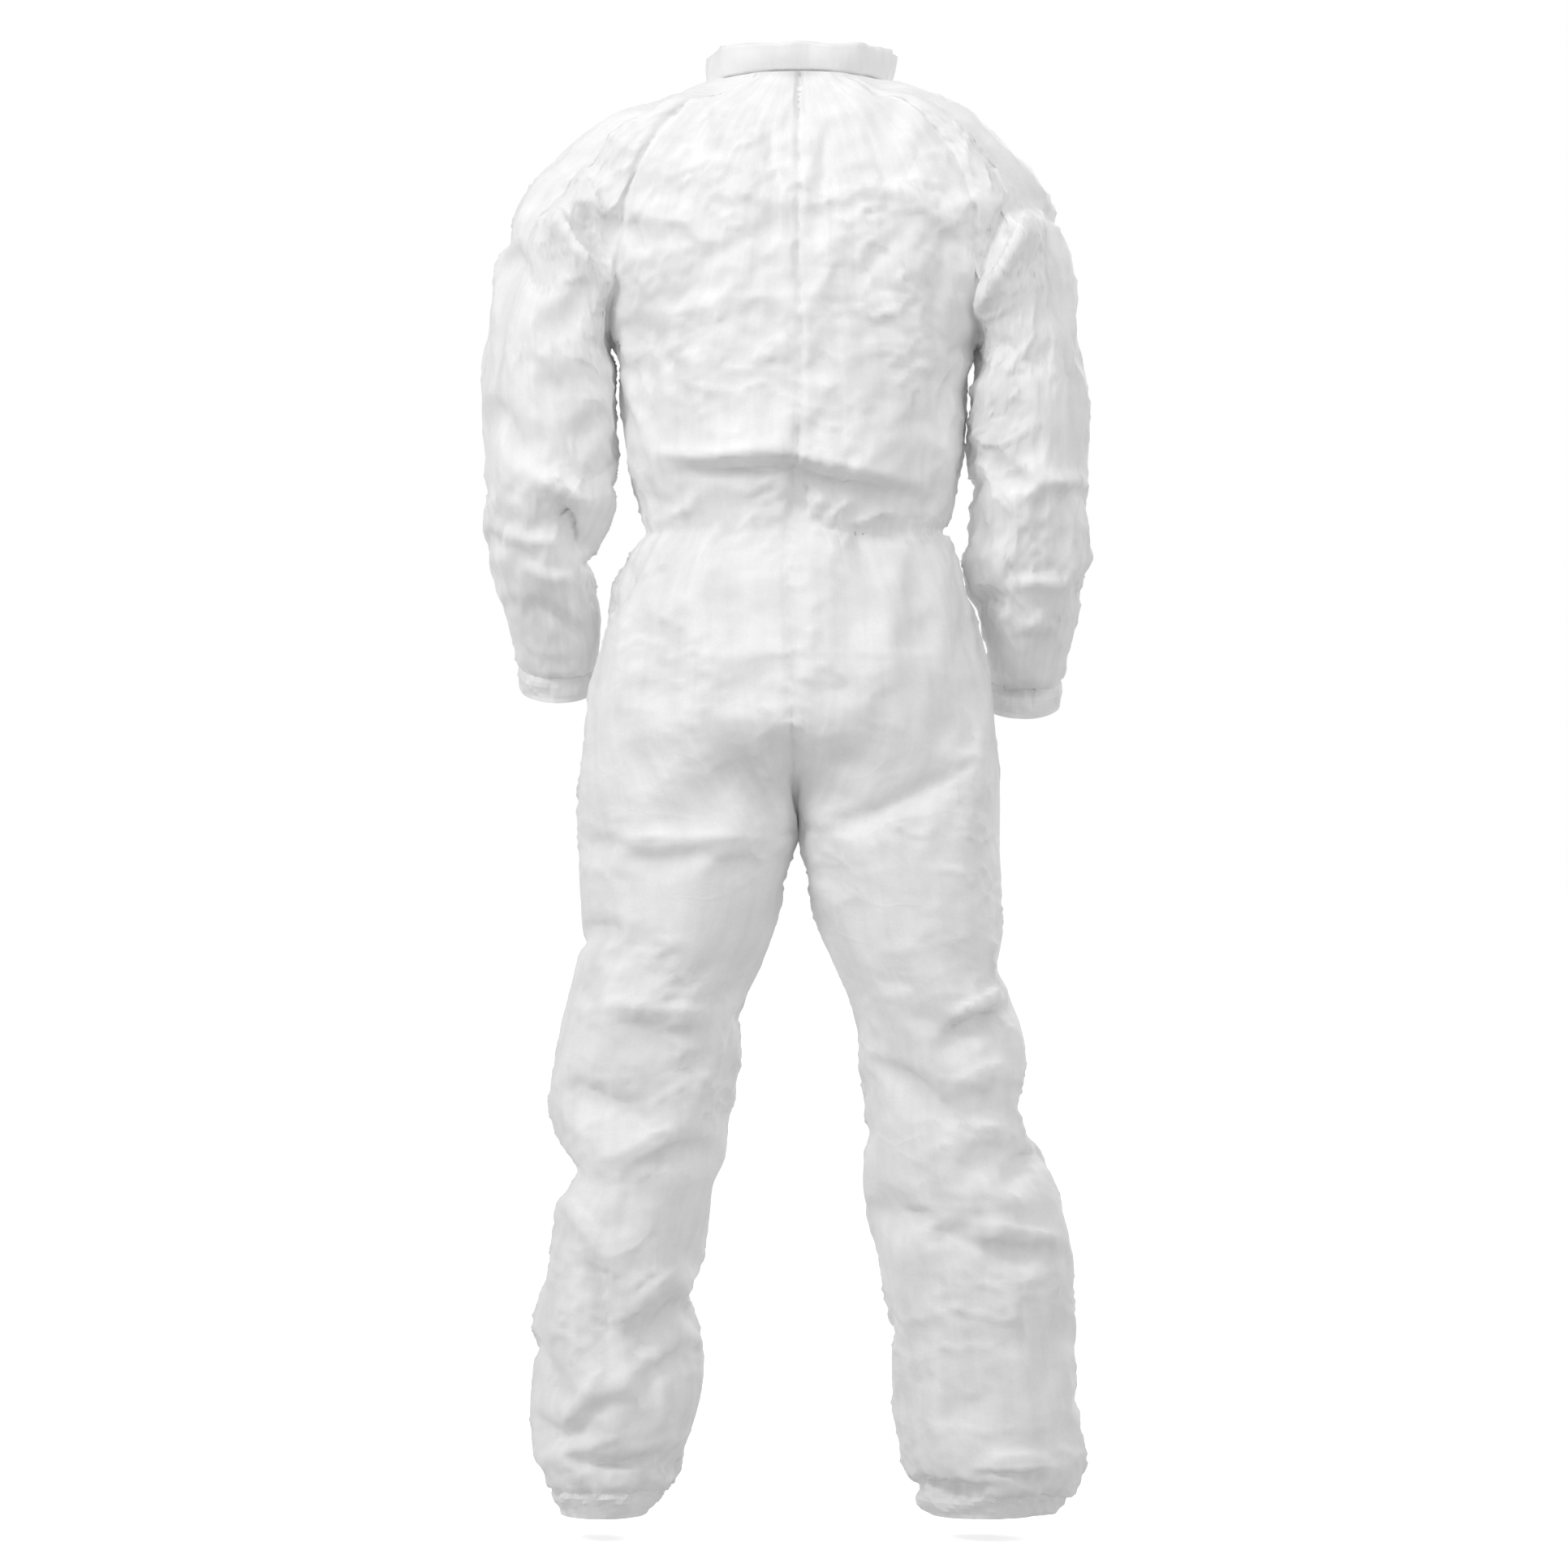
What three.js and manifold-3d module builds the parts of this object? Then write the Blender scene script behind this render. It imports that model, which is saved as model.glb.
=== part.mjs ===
// A zip-front chemical protective coverall, in the shape it takes when it is worn.
// Millimetres, +Z up, the wearer faces -Y, and the wearer's left is +X.
// The origin is the middle of the neck opening, level with the collar seam at the back. The suit hangs
// from the wearer's neck and shoulders there.
import * as THREE from "three";
import { mergeVertices } from "three/addons/utils/BufferGeometryUtils.js";
import Module from "manifold-3d";

const wasm = await Module();
wasm.setup();

// Driving dimensions.
const degrees = Math.PI / 180;
const sheetThick = 1.6; // body of a fabric panel
const seamGap = 0.35; // each panel stops this far short of its seam line
const hemGap = 0.5; // the same at the hems and the elbow
const raglanGap = sheetThick * 0.94; // the same at the raglan seam, where two curved panels meet at an angle
const layGap = 0.4; // between a panel and what is sewn inside it
const waist = { height: -482, halfWidth: 157, back: 96, front: -128 };
const crotch = { height: -805 };
const elbow = { height: -430, halfWidth: 70, halfDepth: 72, outward: 254, forward: -10 };
const wrist = { height: -650, halfWidth: 45, halfDepth: 47, outward: 247, forward: -94 };
const knee = { height: -1090, center: 5, backDepth: 92, frontDepth: 94 };
const ankle = { height: -1520, halfWidth: 45, halfDepth: 60, outward: 206, center: 12 };
const armpit = new THREE.Vector3(188, 0, -290);
const collarSize = { height: 32, thick: 1.4, facingThick: 1.0 };
const hem = { wristHeight: 22, ankleHeight: 26, elasticHeight: 8, elasticThick: 1.2 };
const waistElastic = { height: 14, thick: 1.2, reach: 76 };
const zip = { top: [-96, -6], length: 634, forward: 42, halfOpening: 6 };
const label = { halfWidth: 21, height: 26, drop: 16, thick: 0.8 };
// How far each arm and leg stands out from the even stance, at the elbow and at the ankle.
const stance = {
  left: { sign: 1, arm: 8, leg: -4 },
  right: { sign: -1, arm: -2, leg: 6 },
};

const lerp = THREE.MathUtils.lerp;
const smooth = THREE.MathUtils.smoothstep;

// The value at a height of a list of [height, value] rows, in falling order of height.
function valueAt(rows, z) {
  const last = rows.length - 1;
  if (z >= rows[0][0]) return rows[0][1];
  if (z <= rows[last][0]) return rows[last][1];
  const i = rows.findIndex(([height]) => height < z);
  const [z0, v0] = rows[i - 1];
  const [z1, v1] = rows[i];
  return lerp(v0, v1, (z - z0) / (z1 - z0));
}

const curve = (points) =>
  new THREE.CatmullRomCurve3(points.map((p) => new THREE.Vector3(...p)), false, "centripetal");

// A closed sheet. outside(u, v) is a point of the suit's outer surface, for u and v from 0 to 1, and
// the sheet lies from depth to depth + thick inside it. ring joins u = 1 to u = 0. square, the axis of
// a limb, makes the ends of a hem flat and square to that limb.
function sheet(outside, { across, up, thick = sheetThick, depth = 0, ring = false, flip = 1, square }) {
  const columns = ring ? across : across + 1;
  const rows = up + 1;
  const step = 1e-3;
  const points = [];
  for (const layer of [depth, depth + thick]) {
    for (let j = 0; j < rows; j++) {
      for (let i = 0; i < columns; i++) {
        const u = i / across;
        const v = j / up;
        const p = outside(u, v);
        const du = outside(ring ? u + step : Math.min(u + step, 1), v).sub(
          outside(ring ? u - step : Math.max(u - step, 0), v),
        );
        const dv = outside(u, Math.min(v + step, 1)).sub(outside(u, Math.max(v - step, 0)));
        const normal = dv.cross(du);
        if (square) normal.projectOnPlane(square);
        normal.normalize().multiplyScalar(flip);
        points.push(p.addScaledVector(normal, -layer));
      }
    }
  }
  const layerSize = rows * columns;
  const index = (layer, i, j) => layer * layerSize + j * columns + (i % columns);
  const faces = [];
  const quad = (a, b, c, d) => faces.push(a, b, c, a, c, d);
  for (let j = 0; j < up; j++) {
    for (let i = 0; i < across; i++) {
      quad(index(0, i, j), index(0, i + 1, j), index(0, i + 1, j + 1), index(0, i, j + 1));
      quad(index(1, i, j), index(1, i, j + 1), index(1, i + 1, j + 1), index(1, i + 1, j));
    }
  }
  for (let i = 0; i < across; i++) {
    quad(index(0, i, 0), index(1, i, 0), index(1, i + 1, 0), index(0, i + 1, 0));
    quad(index(0, i, up), index(0, i + 1, up), index(1, i + 1, up), index(1, i, up));
  }
  if (!ring) {
    for (let j = 0; j < up; j++) {
      quad(index(0, 0, j), index(0, 0, j + 1), index(1, 0, j + 1), index(1, 0, j));
      quad(index(0, across, j), index(1, across, j), index(1, across, j + 1), index(0, across, j + 1));
    }
  }
  if (flip > 0) {
    for (let k = 0; k < faces.length; k += 3) [faces[k + 1], faces[k + 2]] = [faces[k + 2], faces[k + 1]];
  }
  const geometry = new THREE.BufferGeometry().setFromPoints(points);
  geometry.setIndex(faces);
  geometry.computeVertexNormals();
  return geometry;
}

// ---- The lines that the panels are sewn along, for the left half ----

const zipSlope = zip.forward / Math.sqrt(zip.length ** 2 - zip.forward ** 2);
const frontLine = (z) => zip.top[0] + (z - zip.top[1]) * zipSlope; // y of the front middle
const zipEnd = zip.top[1] - Math.sqrt(zip.length ** 2 - zip.forward ** 2);

const neckBack = [46, 57, -1];
const neckFront = [55, -84, -33];
const neckPoints = [[0, 62, 0], neckBack, [80, 32, -5], [95, -12, -12], [84, -56, -23], neckFront];
const neckMiddleFront = [0, frontLine(-40), -40];

const sideSeam = curve([
  [waist.halfWidth, 0, waist.height],
  [172, 0, -430],
  [182, 0, -370],
  armpit.toArray(),
]);
const raglanBack = curve([
  armpit.toArray(),
  [190, 38, -268],
  [188, 72, -205],
  [180, 82, -125],
  [150, 78, -72],
  [104, 66, -24],
  neckBack,
]);
const raglanFront = curve([
  armpit.toArray(),
  [190, -42, -268],
  [186, -82, -205],
  [172, -98, -130],
  [140, -101, -84],
  [96, -95, -50],
  neckFront,
]);

const backMiddle = [
  [0, 62],
  [-60, 84],
  [-140, 112],
  [-260, 118],
  [-380, 106],
  [waist.height, waist.back],
];

// The side edge of an upper panel, from the waist up: the side seam, then the raglan seam.
const underarmShare = 1 / 3;
function sideEdge(raglan, v) {
  if (v < underarmShare) return sideSeam.getPointAt(v / underarmShare);
  return raglan.getPointAt((v - underarmShare) / (1 - underarmShare));
}

// An arc of an ellipse from the middle of the body to a point of the side edge. It is a full quarter at
// the side seam, and flatter where it runs on into a raglan sleeve.
const fullSpread = Math.PI / 2;
const spreadAt = (v) => lerp(fullSpread, 45 * degrees, smooth(v, underarmShare, underarmShare + 0.25));
function arc(middle, side, spread, t) {
  const angle = t * spread;
  const bow = (Math.cos(angle) - Math.cos(spread)) / (1 - Math.cos(spread));
  return new THREE.Vector3(
    (side.x * Math.sin(angle)) / Math.sin(spread),
    lerp(side.y, middle.y, bow),
    lerp(middle.z, side.z, t),
  );
}

// The share of an arc at which it is that far from the middle.
const shareAt = (distance, halfWidth, spread = fullSpread) =>
  Math.asin((distance * Math.sin(spread)) / halfWidth) / spread;

const neckSpread = spreadAt(1);
const neckArc = (t) =>
  arc(new THREE.Vector3(...neckMiddleFront), new THREE.Vector3(...neckFront), neckSpread, t).toArray();
const neckline = curve([...neckPoints, neckArc(2 / 3), neckArc(1 / 3), neckMiddleFront]);

function upperBack(t, v) {
  const z = lerp(waist.height, 0, v);
  return arc({ y: valueAt(backMiddle, z), z }, sideEdge(raglanBack, v), spreadAt(v), t);
}

function upperFront(t, v) {
  const z = lerp(waist.height, neckMiddleFront[2], v);
  return arc({ y: frontLine(z), z }, sideEdge(raglanFront, v), spreadAt(v), t);
}

// ---- Below the waist ----

const hipWidth = [
  [waist.height, waist.halfWidth],
  [-520, 183],
  [-570, 200],
  [-640, 210],
  [-720, 218],
  [crotch.height, 220],
];
const seatBack = [
  [waist.height, waist.back],
  [-540, 116],
  [-620, 134],
  [-700, 136],
  [crotch.height, 132],
];
const midCalf = (knee.height + ankle.height) / 2 + 8; // the fullest part of the lower leg
const legInner = [
  [crotch.height, 0],
  [-870, 17],
  [-1053, 64],
  [midCalf, 98],
  [ankle.height + 90, 110],
  [ankle.height + 50, 120],
  [ankle.height, ankle.outward - ankle.halfWidth],
];
const legOuter = [
  [crotch.height, 220],
  [-930, 226],
  [-1053, 249],
  [midCalf, 281],
  [ankle.height + 90, 286],
  [ankle.height + 50, 279],
  [ankle.height, ankle.outward + ankle.halfWidth],
];
const legMiddle = [
  [crotch.height, 0],
  [knee.height, knee.center],
  [midCalf, 16],
  [ankle.height, ankle.center],
];
const legBackDepth = [
  [crotch.height, 112],
  [-930, 104],
  [knee.height, knee.backDepth],
  [midCalf, 92],
  [ankle.height + 45, 88],
  [ankle.height, ankle.halfDepth],
];
const legFrontDepth = [
  [crotch.height, 116],
  [-930, 110],
  [knee.height, knee.frontDepth],
  [midCalf, 90],
  [ankle.height + 45, 88],
  [ankle.height, ankle.halfDepth],
];
const trunkEnd = -665; // below this the half trunk narrows into a leg

// The lower suit at a height: a quarter ellipse about the trunk that turns into half a leg's ellipse.
// t runs from the middle seam or inseam to the side seam. facing is 1 for the back and -1 for the front.
function lower(side, facing, t, z) {
  const angle = (t * Math.PI) / 2;
  const middle = facing > 0 ? valueAt(seatBack, z) : frontLine(Math.max(z, crotch.height));
  const trunkX = valueAt(hipWidth, z) * Math.sin(angle);
  const trunkY = middle * Math.cos(angle);
  const out = side.leg * smooth(-z, -crotch.height, -ankle.height);
  const inner = valueAt(legInner, z) + out;
  const outer = valueAt(legOuter, z) + out;
  const depth = valueAt(facing > 0 ? legBackDepth : legFrontDepth, z);
  const legX = (inner + outer) / 2 - ((outer - inner) / 2) * Math.cos(t * Math.PI);
  const legY = valueAt(legMiddle, z) + facing * depth * Math.sin(t * Math.PI);
  const share = smooth(-z, -trunkEnd, -crotch.height);
  return new THREE.Vector3(side.sign * lerp(trunkX, legX, share), lerp(trunkY, legY, share), z);
}

// ---- The sleeves ----

const shoulderTop = neckPoints[3];
const neckShare = 0.1; // of the sleeve head that is on the neckline, each side of the shoulder
const necklineCurve = {
  back: curve([shoulderTop, neckPoints[2], neckBack]),
  front: curve([shoulderTop, neckPoints[4], neckFront]),
};

// The edge of the sleeve head at a share of the way round, from the shoulder over the back.
function sleeveHead(s) {
  const front = s > 0.5;
  const half = front ? 1 - s : s;
  const raglan = front ? raglanFront : raglanBack;
  if (half < neckShare) return necklineCurve[front ? "front" : "back"].getPointAt(half / neckShare);
  return raglan.getPointAt(1 - (half - neckShare) / (0.5 - neckShare));
}

// A point of a sleeve's tube: s is the share of the way round, tilt leans its plane forward.
function sleeveRing(center, halfWidth, halfDepth, tilt, s) {
  const angle = s * 2 * Math.PI;
  const back = halfDepth * Math.sin(angle);
  return new THREE.Vector3(
    center.x + halfWidth * Math.cos(angle),
    center.y + back * Math.cos(tilt),
    center.z - back * Math.sin(tilt),
  );
}

const elbowCenter = (side) => new THREE.Vector3(elbow.outward + side.arm, elbow.forward, elbow.height);
const wristCenter = (side) => new THREE.Vector3(wrist.outward + side.arm, wrist.forward, wrist.height);
const forearmTilt = Math.atan2(elbow.forward - wrist.forward, elbow.height - wrist.height);
const forearmAxis = new THREE.Vector3(0, -Math.sin(forearmTilt), -Math.cos(forearmTilt));
const downward = new THREE.Vector3(0, 0, -1);

// From the raglan seam to the elbow each line of the sleeve is one cubic curve.
function upperSleeve(side, s, v) {
  const start = sleeveHead(s);
  const end = sleeveRing(elbowCenter(side), elbow.halfWidth, elbow.halfDepth, 0, s);
  const top = (1 + Math.cos(s * 2 * Math.PI)) / 2;
  const leave = new THREE.Vector3(lerp(3, 165, top), 0, lerp(-45, -42, top));
  const arrive = new THREE.Vector3(lerp(-4, 6, top), 0, lerp(45, 245, top));
  const p = new THREE.CubicBezierCurve3(
    start,
    start.clone().add(leave),
    end.clone().add(arrive),
    end,
  ).getPoint(v);
  p.x *= side.sign;
  return p;
}

function forearm(side, s, v) {
  const center = elbowCenter(side).lerp(wristCenter(side), v);
  const p = sleeveRing(
    center,
    lerp(elbow.halfWidth, wrist.halfWidth, v),
    lerp(elbow.halfDepth, wrist.halfDepth, v),
    forearmTilt * smooth(v, 0, 0.6),
    s,
  );
  p.x *= side.sign;
  return p;
}

// ---- Materials ----

const nonwoven = new THREE.MeshStandardMaterial({ color: 0xeeeeee, roughness: 0.85, metalness: 0 });
const ribbon = new THREE.MeshStandardMaterial({ color: 0xe4e4e2, roughness: 0.9, metalness: 0 });
const rubberBand = new THREE.MeshStandardMaterial({ color: 0xdcdad4, roughness: 0.8, metalness: 0 });
const nylon = new THREE.MeshStandardMaterial({ color: 0xf2f2f0, roughness: 0.45, metalness: 0 });
const coated = new THREE.MeshStandardMaterial({ color: 0xe8e8e6, roughness: 0.4, metalness: 0.2 });

const suit = new THREE.Group();
function add(name, geometry, material, parent = suit) {
  const mesh = new THREE.Mesh(geometry, material);
  mesh.name = name;
  parent.add(mesh);
  return mesh;
}

// v of a lower panel that stops a seam gap short of both its ends.
const between = (top, bottom, v) => lerp(top - seamGap, bottom + seamGap, v);

function addPanels(name, side) {
  const { sign } = side;
  const mirror = (p) => p.setX(p.x * sign);

  // From the waist to the neck.
  const backShare = (t) => lerp(seamGap, 250 - raglanGap, t) / 250;
  add(
    `${name}_back_panel`,
    sheet((u, v) => mirror(upperBack(backShare(u), v)), { across: 8, up: 12, flip: sign }),
    nonwoven,
  );
  add(
    `${name}_front_panel`,
    sheet(
      (u, v) => {
        const open = shareAt(zip.halfOpening, sideEdge(raglanFront, v).x, spreadAt(v));
        return mirror(upperFront(lerp(open, 1 - raglanGap / 160, u), v));
      },
      { across: 8, up: 12, flip: -sign },
    ),
    nonwoven,
  );

  // From the waist to the knee.
  add(
    `${name}_seat_panel`,
    sheet((u, v) => lower(side, 1, backShare(u), between(waist.height - seamGap, knee.height, v)), {
      across: 8,
      up: 12,
      flip: -sign,
    }),
    nonwoven,
  );
  add(
    `${name}_thigh_panel`,
    sheet(
      (u, v) => {
        const z = between(waist.height - seamGap, knee.height, v);
        const closing = smooth(-z, -zipEnd, -zipEnd + 30);
        const open = lerp(shareAt(zip.halfOpening, valueAt(hipWidth, z)), seamGap / 250, closing);
        return lower(side, -1, lerp(open, 1 - seamGap / 250, u), z);
      },
      { across: 8, up: 12, flip: sign },
    ),
    nonwoven,
  );

  // From the knee to the ankle.
  const hemTop = ankle.height + hem.ankleHeight;
  const shinShare = (t) => lerp(seamGap / 180, 1 - seamGap / 180, t);
  for (const [part, facing] of [["calf_panel", 1], ["shin_panel", -1]]) {
    add(
      `${name}_${part}`,
      sheet((u, v) => lower(side, facing, shinShare(u), between(knee.height, hemTop, v)), {
        across: 14,
        up: 8,
        flip: -sign * facing,
      }),
      nonwoven,
    );
  }
  const around = (s) => (s < 0.5 ? [1, 2 * s] : [-1, 2 - 2 * s]);
  const ankleRing = (s, z) => {
    const [facing, t] = around((s + 1) % 1);
    return lower(side, facing, t, z);
  };
  add(
    `${name}_ankle_hem`,
    sheet((u, v) => ankleRing(u, lerp(hemTop - seamGap, ankle.height, v)), {
      across: 28,
      up: 1,
      ring: true,
      flip: -sign,
      square: downward,
    }),
    nonwoven,
  );
  const ankleMiddle = ankle.height + hem.ankleHeight / 2;
  add(
    `${name}_ankle_elastic`,
    sheet(
      (u, v) => ankleRing(u, lerp(ankleMiddle + hem.elasticHeight / 2, ankleMiddle - hem.elasticHeight / 2, v)),
      {
        across: 28,
        up: 1,
        ring: true,
        flip: -sign,
        depth: sheetThick + layGap,
        thick: hem.elasticThick,
        square: downward,
      },
    ),
    rubberBand,
  );

  // The sleeve.
  add(
    `${name}_upper_sleeve`,
    sheet((u, v) => upperSleeve(side, (u + 1) % 1, lerp(raglanGap / 200, 1 - hemGap / 250, v)), {
      across: 20,
      up: 10,
      ring: true,
      flip: sign,
    }),
    nonwoven,
  );
  const forearmLength = elbowCenter(side).distanceTo(wristCenter(side));
  const hemStart = 1 - hem.wristHeight / forearmLength;
  const gapShare = hemGap / forearmLength;
  add(
    `${name}_forearm_sleeve`,
    sheet((u, v) => forearm(side, u, lerp(gapShare, hemStart, v)), {
      across: 20,
      up: 6,
      ring: true,
      flip: sign,
    }),
    nonwoven,
  );
  add(
    `${name}_wrist_hem`,
    sheet((u, v) => forearm(side, u, lerp(hemStart + gapShare, 1, v)), {
      across: 20,
      up: 1,
      ring: true,
      flip: sign,
      square: forearmAxis,
    }),
    nonwoven,
  );
  const elasticHalf = hem.elasticHeight / 2 / forearmLength;
  const elasticMiddle = (1 + hemStart) / 2;
  add(
    `${name}_wrist_elastic`,
    sheet((u, v) => forearm(side, u, lerp(elasticMiddle - elasticHalf, elasticMiddle + elasticHalf, v)), {
      across: 20,
      up: 1,
      ring: true,
      flip: sign,
      depth: sheetThick + layGap,
      thick: hem.elasticThick,
      square: forearmAxis,
    }),
    rubberBand,
  );
}
Object.entries(stance).forEach(([name, side]) => addPanels(name, side));

// ---- Collar, waist elastic and label ----

const collarColumns = 30;
// Round the neck from the left edge of the zip, behind the neck, to the right edge. stop is the
// distance from the middle of the front at which it ends.
function collarPoint(stop, u, v) {
  const end = 1 - stop / neckline.getLength();
  const share = (2 * u - 1) * end;
  const p = neckline.getPointAt(Math.abs(share));
  const rise = lerp(hemGap, collarSize.height, v);
  return new THREE.Vector3(-Math.sign(share || 1) * p.x, p.y + rise * zipSlope, p.z + rise);
}
add(
  "collar",
  sheet((u, v) => collarPoint(zip.halfOpening, u, v), {
    across: collarColumns,
    up: 2,
    thick: collarSize.thick,
    flip: -1,
  }),
  nonwoven,
);
add(
  "collar_facing",
  sheet((u, v) => collarPoint(zip.halfOpening, lerp(1, collarColumns - 1, u) / collarColumns, v), {
    across: collarColumns - 2,
    up: 2,
    depth: collarSize.thick + layGap,
    thick: collarSize.facingThick,
    flip: -1,
  }),
  nonwoven,
);
add(
  "waist_elastic",
  sheet(
    (u, v) => {
      const angle = lerp(-1, 1, u) * waistElastic.reach * degrees;
      const z = waist.height + lerp(-0.5, 0.5, v) * waistElastic.height;
      const width = z > waist.height ? sideSeam.getPointAt(0.1).x : valueAt(hipWidth, z);
      const narrow = Math.min(width, waist.halfWidth);
      return new THREE.Vector3(narrow * Math.sin(angle), (waist.back - 1) * Math.cos(angle), z);
    },
    { across: 24, up: 1, depth: sheetThick + layGap, thick: waistElastic.thick, flip: 1 },
  ),
  rubberBand,
);
add(
  "size_label",
  sheet(
    (u, v) => {
      const x = lerp(-label.halfWidth, label.halfWidth, u);
      const height = lerp(waist.height, 0, 1) - label.drop - (1 - v) * label.height;
      const row = 1 - height / waist.height;
      const p = upperBack(shareAt(Math.abs(x), sideEdge(raglanBack, row).x, spreadAt(row)), row);
      return p.setX(x);
    },
    { across: 4, up: 2, depth: sheetThick + layGap, thick: label.thick, flip: 1 },
  ),
  ribbon,
);

// ---- The zip, in a frame whose -Z runs down the chain and whose -Y faces out ----

const zipGroup = new THREE.Group();
zipGroup.position.set(0, ...zip.top);
zipGroup.rotation.x = -Math.asin(zip.forward / zip.length);
suit.add(zipGroup);

const tape = { inner: 0.8, outer: 13, front: 3.0, back: 3.9 };
const chain = { inner: 0.8, outer: 3.0, front: -0.6, back: 2.6, top: -6 };
const stop = { height: 3, front: -1.1 };
const slider = { length: 10, halfWidth: 4.5, plate: 1.2, lip: 1.0, front: -1.0, postHalf: 0.45, travel: 600 };
const bridge = { drop: 5, out: -3.9, hole: 1.15, halfWidth: 1.2, halfHeight: 2.2, top: -5.6 };
const pull = { bar: 0.8, halfWidth: 3.5, armInner: 1.6, start: 3.4, length: 31, thick: 1.2 };
const flap = { root: 28, edge: -22, over: -6.4, thick: 1.6, top: -3 };

// A prism along the chain from an outline in the plane across it.
function alongZip(outline, top, bottom) {
  const shape = new THREE.Shape(outline.map(([x, y]) => new THREE.Vector2(x, y)));
  const made = new THREE.ExtrudeGeometry(shape, { depth: top - bottom, bevelEnabled: false, steps: 1 });
  return made.translate(0, 0, bottom);
}
const rectangle = (x0, y0, x1, y1) => [[x0, y0], [x1, y0], [x1, y1], [x0, y1]];

for (const [name, sign] of [["left", 1], ["right", -1]]) {
  const strip = (size, top, bottom) => {
    const [x0, x1] = [sign * size.inner, sign * size.outer].sort((a, b) => a - b);
    return alongZip(rectangle(x0, size.front, x1, size.back), top, bottom);
  };
  add(`${name}_zip_tape`, strip(tape, -1, -zip.length), ribbon, zipGroup);
  add(`${name}_zip_chain`, strip(chain, chain.top, -zip.length + 8), nylon, zipGroup);
  const stopSize = { ...chain, front: stop.front };
  add(`${name}_top_stop`, strip(stopSize, chain.top + layGap + stop.height, chain.top + layGap), nylon, zipGroup);
}
const bottomStopTop = -zip.length + 8 - layGap;
add(
  "bottom_stop",
  alongZip(rectangle(-chain.outer, stop.front, chain.outer, chain.back), bottomStopTop, bottomStopTop - 4),
  nylon,
  zipGroup,
);

// manifold-3d only joins the bridge to the slider.
function solid(geometry) {
  const bare = geometry.clone().deleteAttribute("normal").deleteAttribute("uv");
  const merged = mergeVertices(bare, 1e-3);
  const corners = [];
  for (let k = 0; k < merged.index.count; k += 3) {
    const [a, b, c] = merged.index.array.slice(k, k + 3);
    if (a !== b && b !== c && c !== a) corners.push(a, b, c);
  }
  return new wasm.Manifold(
    new wasm.Mesh({
      numProp: 3,
      vertProperties: new Float32Array(merged.attributes.position.array),
      triVerts: new Uint32Array(corners),
    }),
  );
}
function geometryOf(manifold) {
  const mesh = manifold.getMesh();
  return new THREE.BufferGeometry()
    .setAttribute("position", new THREE.BufferAttribute(mesh.vertProperties, 3))
    .setIndex(new THREE.BufferAttribute(mesh.triVerts, 1));
}

const sliderTop = chain.top - layGap;
const backPlate = tape.back + layGap;
const sliderOutline = [
  [-slider.halfWidth, slider.front - slider.plate],
  [slider.halfWidth, slider.front - slider.plate],
  [slider.halfWidth, slider.front + slider.lip],
  [slider.halfWidth - 0.8, slider.front + slider.lip],
  [slider.halfWidth - 0.8, slider.front],
  [slider.postHalf, slider.front],
  [slider.postHalf, backPlate],
  [slider.halfWidth - 1, backPlate],
  [slider.halfWidth - 1, backPlate + 1],
  [-slider.halfWidth + 1, backPlate + 1],
  [-slider.halfWidth + 1, backPlate],
  [-slider.postHalf, backPlate],
  [-slider.postHalf, slider.front],
  [-slider.halfWidth + 0.8, slider.front],
  [-slider.halfWidth + 0.8, slider.front + slider.lip],
  [-slider.halfWidth, slider.front + slider.lip],
];
const hingeHeight = sliderTop - bridge.drop;
function bridgeSolid() {
  const shape = new THREE.Shape();
  const plateFace = slider.front - slider.plate + 0.3;
  shape.moveTo(-bridge.halfHeight, plateFace);
  shape.lineTo(bridge.halfHeight, plateFace);
  shape.lineTo(bridge.halfHeight, bridge.top + 1);
  shape.lineTo(bridge.halfHeight - 1, bridge.top);
  shape.lineTo(-bridge.halfHeight + 1, bridge.top);
  shape.lineTo(-bridge.halfHeight, bridge.top + 1);
  const eye = new THREE.Path();
  eye.absarc(0, bridge.out, bridge.hole, 0, 2 * Math.PI, false);
  shape.holes.push(eye);
  const made = new THREE.ExtrudeGeometry(shape, {
    depth: 2 * bridge.halfWidth,
    bevelEnabled: false,
    curveSegments: 8,
  });
  made.translate(0, 0, -bridge.halfWidth).rotateY(Math.PI / 2);
  return solid(made.translate(0, 0, hingeHeight));
}
add(
  "zip_slider",
  geometryOf(solid(alongZip(sliderOutline, sliderTop, sliderTop - slider.length)).add(bridgeSolid())),
  coated,
  zipGroup,
);

// The pull hangs by its bar from the bridge.
function pullGeometry() {
  const bar = new THREE.CylinderGeometry(pull.bar, pull.bar, 2 * pull.halfWidth, 12).rotateZ(Math.PI / 2);
  const shape = new THREE.Shape();
  shape.moveTo(-pull.halfWidth, 0);
  shape.lineTo(-pull.halfWidth, -pull.length + 3);
  shape.absarc(-pull.halfWidth + 3, -pull.length + 3, 3, Math.PI, 1.5 * Math.PI, false);
  shape.absarc(pull.halfWidth - 3, -pull.length + 3, 3, 1.5 * Math.PI, 2 * Math.PI, false);
  shape.lineTo(pull.halfWidth, 0);
  shape.lineTo(pull.armInner, 0);
  shape.lineTo(pull.armInner, -pull.start);
  shape.lineTo(-pull.armInner, -pull.start);
  shape.lineTo(-pull.armInner, 0);
  const plate = new THREE.ExtrudeGeometry(shape, { depth: pull.thick, bevelEnabled: false, curveSegments: 5 });
  plate.translate(0, 0, -pull.thick / 2).rotateX(Math.PI / 2);
  const joined = solid(bar).add(solid(plate));
  return geometryOf(joined).translate(0, bridge.out, hingeHeight);
}
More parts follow.
